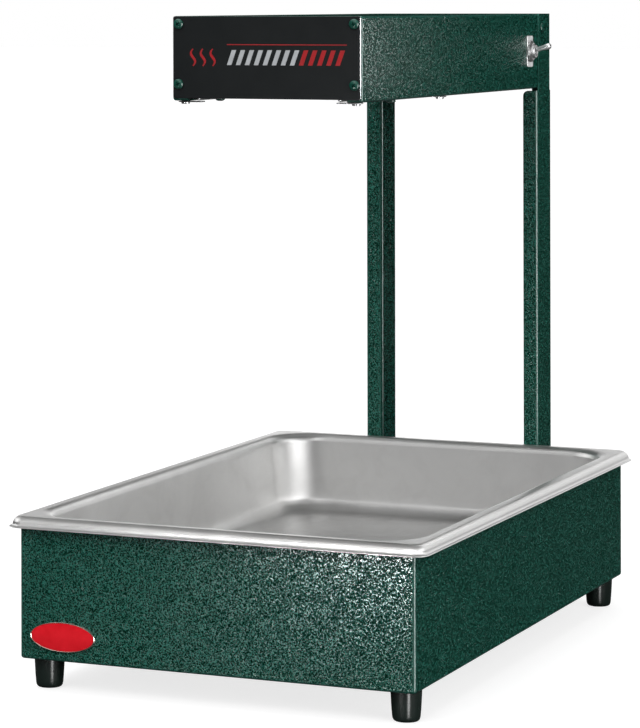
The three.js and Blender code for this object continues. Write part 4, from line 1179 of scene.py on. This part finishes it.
# =====================================================================================
# ceramic elements
# =====================================================================================
for en in ("front", "rear"):
    e_lo, e_hi = box_mm(f"ceramic_element_{en}")
    yc = (e_lo.y + e_hi.y) / 2
    Lh = (e_hi.y - e_lo.y) / 2
    Ro, Ri, zc = 54.0, 46.0, 461.0 - 54.0
    ho, hi_ = math.asin(30 / Ro), math.asin(28.5 / Ri)
    sec = []
    for k in range(21):
        a = math.pi / 2 - ho + 2 * ho * k / 20
        sec.append((Ro * math.cos(a), zc + Ro * math.sin(a)))
    # rounded left edge, then the concave face, then the rounded right edge
    for k in range(21):
        a = math.pi / 2 + hi_ - 2 * hi_ * k / 20
        rib = 0.35 * math.cos(10 * math.pi * (k - 10) / 20)
        sec.append(((Ri + rib) * math.cos(a), zc + (Ri + rib) * math.sin(a)))
    cxs = sum(p[0] for p in sec) / len(sec)
    czs = sum(p[1] for p in sec) / len(sec)

    def sec_ring(y, k):
        # k pulls the section towards its own mid-line, to round the ends
        out = []
        for idx, (x, z) in enumerate(sec):
            a = math.atan2(z - zc, x)
            rr = math.hypot(x, z - zc)
            mid = 50.0
            rr = mid + (rr - mid) * k
            out.append((rr * math.cos(a), y, zc + rr * math.sin(a)))
        return out

    ends = [(-Lh, 0.35), (-Lh + 0.5, 0.62), (-Lh + 1.4, 0.84), (-Lh + 2.6, 0.96), (-Lh + 4, 1.0)]
    st = ends + [(0, 1.0)] + [(-a, b) for a, b in reversed(ends)]
    v1 = loft([sec_ring(yc + a, b) for a, b in st])
    neck = rbox(-7.5, 7.5, yc - 19, yc + 19, 458, e_hi.z, 1.2, 3)
    foot = rbox(-8.8, 8.8, yc - 15, yc + 15, 459, 465, 1.0, 3)
    v, f = join(v1, neck, foot)
    make(f"ceramic_element_{en}_glazed", v, f, CERAMIC, stands=[f"ceramic_element_{en}"], angle=40)

# =====================================================================================
# wiring, conduit, cord and plug
# =====================================================================================
ey = [(box_mm(f"ceramic_element_{e}")[0].y + box_mm(f"ceramic_element_{e}")[1].y) / 2 for e in ("front", "rear")]
path = catmull([(0, ey[0] + 10, 478.6), (3, 260, 478.6), (4, 330, 478.9), (3, ey[1], 479), (3, 420, 478.6), (0, 458, 477.8), (0, 480, 477.4), (-3, 494, 470), (-6, 506, 452)], 10)
v, f = sweep(resample(path, 3.0), 1.7, 12)
make("element_wiring_sleeved", v, f, BRAID, stands=["element_wiring"], angle=60)

c_lo, c_hi = box_mm("supply_conduit")
CX, CY, CZ = 70.2, 542.0, 42.0
path = catmull([(50, 500, CZ), (50, 516, CZ), (51.5, 529, CZ + 2), (59, CY - 2, CZ + 12), (CX - 1.5, CY, CZ + 34), (CX, CY, CZ + 60), (CX, CY, 250), (CX, CY, 400), (CX, CY, 436), (CX - 2, CY - 1, 446)], 24)
path = resample(path, 0.75)
v, f = sweep(path, lambda i, n, L: 3.72 - 0.42 * (0.5 - 0.5 * math.cos(2 * math.pi * i / 4.0)), 14)
make("supply_conduit_ribbed", v, f, CONDUIT, stands=["supply_conduit"], angle=70)

# cord bundle
cd = []
cd += [(-30, 499, 42), (-30, 512, 42), (-30, 524, 41.5), (-27, 528.5, 33), (-18, 529.5, 18)]
cz, A, B, f0, tn, pitch = 55.0, 43.0, 46.0, 285.0, 2.72, 9.2
for k in range(41):
    ff = f0 + 360.0 * tn * k / 40
    a = math.radians(ff)
    cd.append((A * math.cos(a), 529.5 + pitch * (ff - f0) / 360.0, cz + B * math.sin(a)))
cd += [(-16, 553.2, 22), (-2, 551.8, 17), (9, 548.5, 22), (12, 545.5, 32), (12, 544.5, 42)]
path = resample(catmull(cd, 10), 2.6)
v, f = sweep(path, 3.95, 20)
make("power_cord_jacket", v, f, RUBBER, stands=["power_cord"], angle=80)

# cord strain relief and conduit bushing, turned profiles with a soft boot
r_lo, r_hi = box_mm("cord_strain_relief")
y0, y1 = r_lo.y, r_hi.y
pr = [(4.25, 0.0), (6.6, 0.0), (6.9, 4.8), (7.3, 5.0), (7.4, 5.4), (9.6, 5.4), (10.0, 5.8), (10.0, 6.9), (9.7, 7.5), (8.9, 7.9), (7.2, 8.0), (6.9, 8.4)]
pr = [(4.25, 0.0), (6.7, 0.0), (7.2, 0.4), (7.2, 4.5), (6.9, 4.9), (7.6, 5.0), (9.7, 5.0), (10.0, 5.3), (10.0, 6.5), (9.6, 6.9), (8.6, 7.1), (7.3, 7.2)]
for k in range(3):
    z = 7.6 + k * 1.8
    pr += [(6.9 - 0.35 * k, z), (7.0 - 0.35 * k, z + 0.5), (6.9 - 0.35 * k, z + 1.0), (6.3 - 0.35 * k, z + 1.25), (6.3 - 0.35 * k, z + 1.6)]
pr += [(5.6, 12.9), (4.9, 13.0), (4.25, 12.8)]
v, f = lathe(pr, 40, (-30, y0, 42), (0, 1, 0))
make("cord_strain_relief_boot", v, f, RUBBER, stands=["cord_strain_relief"], angle=40)
q_lo, q_hi = box_mm("conduit_bushing")
pr = [(4.1, 0.0), (6.3, 0.0), (6.3, 3.1), (8.2, 3.3), (8.4, 3.6), (8.4, 4.5), (8.0, 4.95), (7.2, 5.2), (4.8, 5.2), (4.1, 4.8)]
v, f = lathe(pr, 40, (50, q_lo.y, 42), (0, 1, 0))
make("conduit_bushing_snap", v, f, RUBBER, stands=["conduit_bushing"], angle=40)

# plug: moulded body with grip ridges
g0, g1 = box_mm("plug_body")
pcx, pcyy = (g0.x + g1.x) / 2, (g0.y + g1.y) / 2
pr = [(0.0, 5.4, 5.2, 5.2), (0.8, 6.1, 6.0, 5.6), (5.5, 6.6, 6.5, 5.8), (8.0, 8.2, 7.6, 5.8), (10.5, 11.2, 8.8, 5.4), (13.0, 12.9, 9.7, 5.2), (15.0, 13.4, 9.95, 5.2)]
for k in range(4):
    z = 16.4 + k * 2.6
    pr += [(z, 13.45, 9.95, 5.2), (z + 0.3, 12.95, 9.5, 5.0), (z + 0.9, 12.95, 9.5, 5.0), (z + 1.2, 13.45, 9.95, 5.2)]
pr += [(28.6, 13.4, 9.9, 5.0), (29.6, 13.0, 9.5, 4.7), (30.3, 12.2, 8.8, 4.2), (30.5, 11.0, 7.6, 3.4)]
rings = [rr_ring(a, b, r, g0.z + z, pcx, pcyy, 8) for z, a, b, r in pr]
v, f = loft(rings)
make("plug_body_moulded", v, f, RUBBER, stands=["plug_body"], angle=35)
n_lo, n_hi = box_mm("plug_ground_pin")
pr = [(0, 0), (2.4, 0), (2.4, 19.4)] + [(2.4 * math.cos(math.radians(a)), 19.4 + 3.5 * math.sin(math.radians(a))) for a in (20, 40, 58, 75)] + [(0, 22.9)]
v, f = lathe(pr, 28, ((n_lo.x + n_hi.x) / 2, (n_lo.y + n_hi.y) / 2, n_lo.z), (0, 0, 1))
make("plug_ground_pin_round", v, f, BRASS, stands=["plug_ground_pin"], angle=50)
# hook-and-loop tie round the bundle
tie = []
for k in range(33):
    a = 2 * math.pi * k / 32
    tie.append((a,))
V, F = [], []
ycen, zcen = 541.6, 99.8
for k in range(32):
    a = 2 * math.pi * k / 32
    ca, sa = math.cos(a), math.sin(a)
    ex = 17.2 * (abs(ca) ** 0.55) * (1 if ca >= 0 else -1)
    ez = 5.6 * (abs(sa) ** 0.55) * (1 if sa >= 0 else -1)
    ln = math.hypot(ex, ez)
    for dx, rr in ((-6.0, 0), (6.0, 0), (6.0, 1.1), (-6.0, 1.1)):
        V.append((-2.0 + dx, ycen + ex * (1 + rr / 17.2), zcen + ez * (1 + rr / 5.6)))
for k in range(32):
    a, b = 4 * k, 4 * ((k + 1) % 32)
    for i in range(4):
        j = (i + 1) % 4
        F.append((a + i, a + j, b + j, b + i))
tie = make("cord_tie_band", V, F, BAKELITE, angle=40)

# =====================================================================================
# floor, light, camera
# =====================================================================================
fl = bpy.data.meshes.new("floor")
S = 30.0
fl.from_pydata([(-S, -S, 0), (S, -S, 0), (S, S, 0), (-S, S, 0)], [], [(0, 1, 2, 3)])
floor = bpy.data.objects.new("floor", fl)
bpy.context.scene.collection.objects.link(floor)
floor.location.z = -0.0002
mf = M("floor_pale", (0.36, 0.36, 0.36), 0.7, 0.0, 0.1)
flp = mf.n("ShaderNodeLightPath")
pale = mf.mix(mf.val(mf.noise(1.2, 3.0), 0.3, 0.7), (0.365, 0.365, 0.365), (0.355, 0.355, 0.357))
# seen directly it is pale; it throws only a little light back at the object, as a floor far below a table would
mf.set("Base Color", mf.mix(flp.outputs["Is Camera Ray"], (0.05, 0.05, 0.05), pale))
mf.set("Emission Color", (1.0, 1.0, 1.0, 1.0))
mf.set("Emission Strength", mf.math("MULTIPLY", flp.outputs["Is Camera Ray"], 0.76))
fl.materials.append(mf.mat)

world = bpy.data.worlds.new("studio")
bpy.context.scene.world = world
world.use_nodes = True
nt = world.node_tree
nt.nodes.clear()


def wnode(kind, **kw):
    n_ = nt.nodes.new(kind)
    for k_, v_ in kw.items():
        setattr(n_, k_, v_)
    return n_


wo = wnode("ShaderNodeOutputWorld")
lp = wnode("ShaderNodeLightPath")
tc = wnode("ShaderNodeTexCoord")
sx = wnode("ShaderNodeSeparateXYZ")
nt.links.new(tc.outputs["Generated"], sx.inputs[0])
up = wnode("ShaderNodeMapRange")
up.inputs["From Min"].default_value = -1.0
up.inputs["From Max"].default_value = 1.0
nt.links.new(sx.outputs["Z"], up.inputs["Value"])
grad = wnode("ShaderNodeValToRGB")
el = grad.color_ramp.elements
for i_, (p_, g_) in enumerate(((0.48, 0.004), (0.60, 0.012), (0.76, 0.08), (0.92, 0.30))):
    e_ = el[i_] if i_ < 2 else el.new(p_)
    e_.position = p_
    e_.color = (g_, g_, g_, 1.0)
nt.links.new(up.outputs["Result"], grad.inputs["Fac"])
bg_room = wnode("ShaderNodeBackground")
nt.links.new(grad.outputs["Color"], bg_room.inputs["Color"])
bg_cam = wnode("ShaderNodeBackground")
bg_cam.inputs[0].default_value = (1, 1, 1, 1)
m2 = wnode("ShaderNodeMixShader")
nt.links.new(lp.outputs["Is Camera Ray"], m2.inputs[0])
nt.links.new(bg_room.outputs[0], m2.inputs[1])
nt.links.new(bg_cam.outputs[0], m2.inputs[2])
nt.links.new(m2.outputs[0], wo.inputs["Surface"])


def area(name, loc, target, size, power, sy=None, color=(1, 1, 1)):
    l = bpy.data.lights.new(name, "AREA")
    l.energy = power
    l.color = color
    l.size = size
    if sy:
        l.shape = "RECTANGLE"
        l.size_y = sy
    o = bpy.data.objects.new(name, l)
    bpy.context.scene.collection.objects.link(o)
    o.location = loc
    o.rotation_mode = "QUATERNION"
    o.rotation_quaternion = (Vector(target) - Vector(loc)).to_track_quat("-Z", "Y")
    o.visible_camera = False
    return o


def fill(name, toward, energy, angle=60.0):
    """Broad even light from one side that adds no mirror highlight."""
    l = bpy.data.lights.new(name, "SUN")
    l.energy = energy
    l.angle = math.radians(angle)
    o = bpy.data.objects.new(name, l)
    bpy.context.scene.collection.objects.link(o)
    o.rotation_mode = "QUATERNION"
    o.rotation_quaternion = (-Vector(toward)).to_track_quat("-Z", "Y")
    o.visible_glossy = False
    return o


def gloss_only(o):
    """A light seen as a highlight only: it adds nothing to a surface's own colour."""
    o.visible_diffuse = False
    return o


def only(o, names):
    """The light reaches just these pieces, as a flagged studio lamp would."""
    c = bpy.data.collections.new(o.name + "_on")
    for n_ in names:
        c.objects.link(bpy.data.objects[n_])
    o.light_linking.receiver_collection = c
    return o


def never(o, names):
    """The light reaches everything but these pieces."""
    c = bpy.data.collections.new(o.name + "_off")
    for n_ in names:
        c.objects.link(bpy.data.objects[n_])
    o.light_linking.receiver_collection = c
    for it in c.collection_objects:
        it.light_linking.link_state = "EXCLUDE"
    return o


def through(o, names):
    """These pieces cast no shadow from the light."""
    c = bpy.data.collections.new(o.name + "_through")
    for n_ in names:
        c.objects.link(bpy.data.objects[n_])
    o.light_linking.blocker_collection = c
    for it in c.collection_objects:
        it.light_linking.link_state = "EXCLUDE"
    return o


PAN = ["food_pan_drawn"]
BRIGHT = ["toggle_ring_nut_knurled", "toggle_legend_plate_pressed", "toggle_switch_body_threaded", "toggle_lever_bat"]
FEET = [f"foot_{n_}_moulded" for n_ in ("front_left", "front_right", "rear_left", "rear_right")]

fill("fill_front_left", (-0.35, -0.85, 0.60), 1.55)
fill("fill_right", (0.90, -0.10, 0.45), 1.10)
fill("fill_back", (-0.35, 0.90, 0.50), 1.1)
glint = gloss_only(area("front_glint", (-0.06, -0.88, 0.075), (0.16, -0.28, 0.130), 0.16, 0.54, 0.12))
glint.data.spread = math.radians(60)
never(glint, ["post_left_channel", "post_right_channel", "base_badge_oval"])
never(gloss_only(area("front_band", (-0.26, -0.88, 0.085), (0.0, -0.28, 0.15), 0.32, 0.10, 0.05)),
      ["post_left_channel", "post_right_channel", "base_badge_oval"])
gloss_only(area("side_glint", (0.295, 0.18, 0.47), (0.0765, -0.27, 0.46), 0.09, 0.13, 0.09)).data.spread = math.radians(100)
through(never(gloss_only(area("edge_strip", (1.69, -0.62, 0.02), (0.1, -0.1, 0.12), 0.38, 36.0, 1.4)), PAN + BRIGHT + FEET), ["floor"])
area("softbox_right", (1.6, -1.0, 0.56), (0.0, 0.0, 0.25), 1.6, 13.0, 1.0)
never(area("softbox_top", (-0.3, 0.1, 1.95), (0, 0, 0.1), 1.9, 20.0), PAN)
area("softbox_front_top", (0.2, -2.1, 2.0), (0, 0, 0.1), 1.5, 11.0, 0.9)
only(area("pan_back_low", (-1.25, 2.7, 0.55), (0, 0, 0.12), 3.4, 17.0, 0.9), PAN)
only(area("pan_front", (-0.8, -1.75, 0.90), (0, 0, 0.12), 1.8, 4.6, 1.5), PAN)
only(area("pan_right_high", (1.9, 0.2, 1.2), (0, 0, 0.12), 2.2, 15.0, 1.3), PAN)
only(area("pan_back_right", (0.9, 1.9, 0.78), (0, 0, 0.12), 1.8, 8.0, 1.5), PAN)
only(area("pan_left_high", (-1.9, -0.1, 1.2), (0, 0, 0.12), 1.8, 12.0, 1.1), PAN)
through(only(gloss_only(area("foot_strip", (1.02, -1.38, -0.33), (0, 0, 0.01), 0.30, 5.0, 0.5)), FEET), ["floor"])
only(area("toggle_card", (0.34, 0.77, 0.47), (0.08, 0.227, 0.461), 0.35, 0.28, 0.35), BRIGHT)
only(area("toggle_front", (1.0, -1.1, 0.60), (0.08, 0.227, 0.461), 1.6, 14.0, 1.3), BRIGHT)
only(area("toggle_under", (0.75, -0.45, 0.10), (0.08, 0.227, 0.461), 0.9, 4.0, 0.9), BRIGHT)

cam_d = bpy.data.cameras.new("camera")
cam = bpy.data.objects.new("camera", cam_d)
bpy.context.scene.collection.objects.link(cam)
bpy.context.scene.camera = cam
FPX, PX, PY, TH, CA, CB, CH, ROLL = 3221.50013, 123.82851, 1.79819, 0.43183, 62.1811, 2296.15514, 503.73289, -0.00183
W, H = 640.0, 728.0
c, s = math.cos(TH), math.sin(TH)
loc = P(-c * CA + s * CB, -s * CA - c * CB, CH)
cam.location = loc
rot = Matrix(((c, 0, s), (s, 0, -c), (0, 1, 0)))
cam.rotation_mode = "QUATERNION"
cam.rotation_quaternion = (rot @ Matrix.Rotation(ROLL, 3, "Z")).to_quaternion()
cam_d.sensor_fit = "AUTO"
cam_d.sensor_width = 36.0
cam_d.lens = FPX / max(W, H) * 36.0
cam_d.clip_start = 0.05
cam_d.clip_end = 60.0
# the lens shift belongs to the main viewpoint: it fades out when the camera is placed anywhere else
spot = bpy.data.objects.new("main_viewpoint", None)
bpy.context.scene.collection.objects.link(spot)
spot.location = loc
for prop, value in (("shift_x", (W / 2 - PX) / max(W, H)), ("shift_y", (PY - H / 2) / max(W, H))):
    setattr(cam_d, prop, value)
    fc = cam_d.driver_add(prop)
    dr = fc.driver
    dr.type = "SUM"
    var = dr.variables.new()
    var.name = "d"
    var.type = "LOC_DIFF"
    var.targets[0].id = cam
    var.targets[1].id = spot
    for m_ in list(fc.modifiers):
        fc.modifiers.remove(m_)
    for fx, fv in ((0.0, value), (0.05, value), (0.15, 0.0), (1.0, 0.0)):
        kp = fc.keyframe_points.insert(fx, fv)
        kp.interpolation = "LINEAR"
    fc.extrapolation = "CONSTANT"
    fc.update()

bpy.context.scene.view_settings.view_transform = "Standard"
bpy.context.scene.view_settings.look = "None"
bpy.context.scene.view_settings.exposure = 0.0
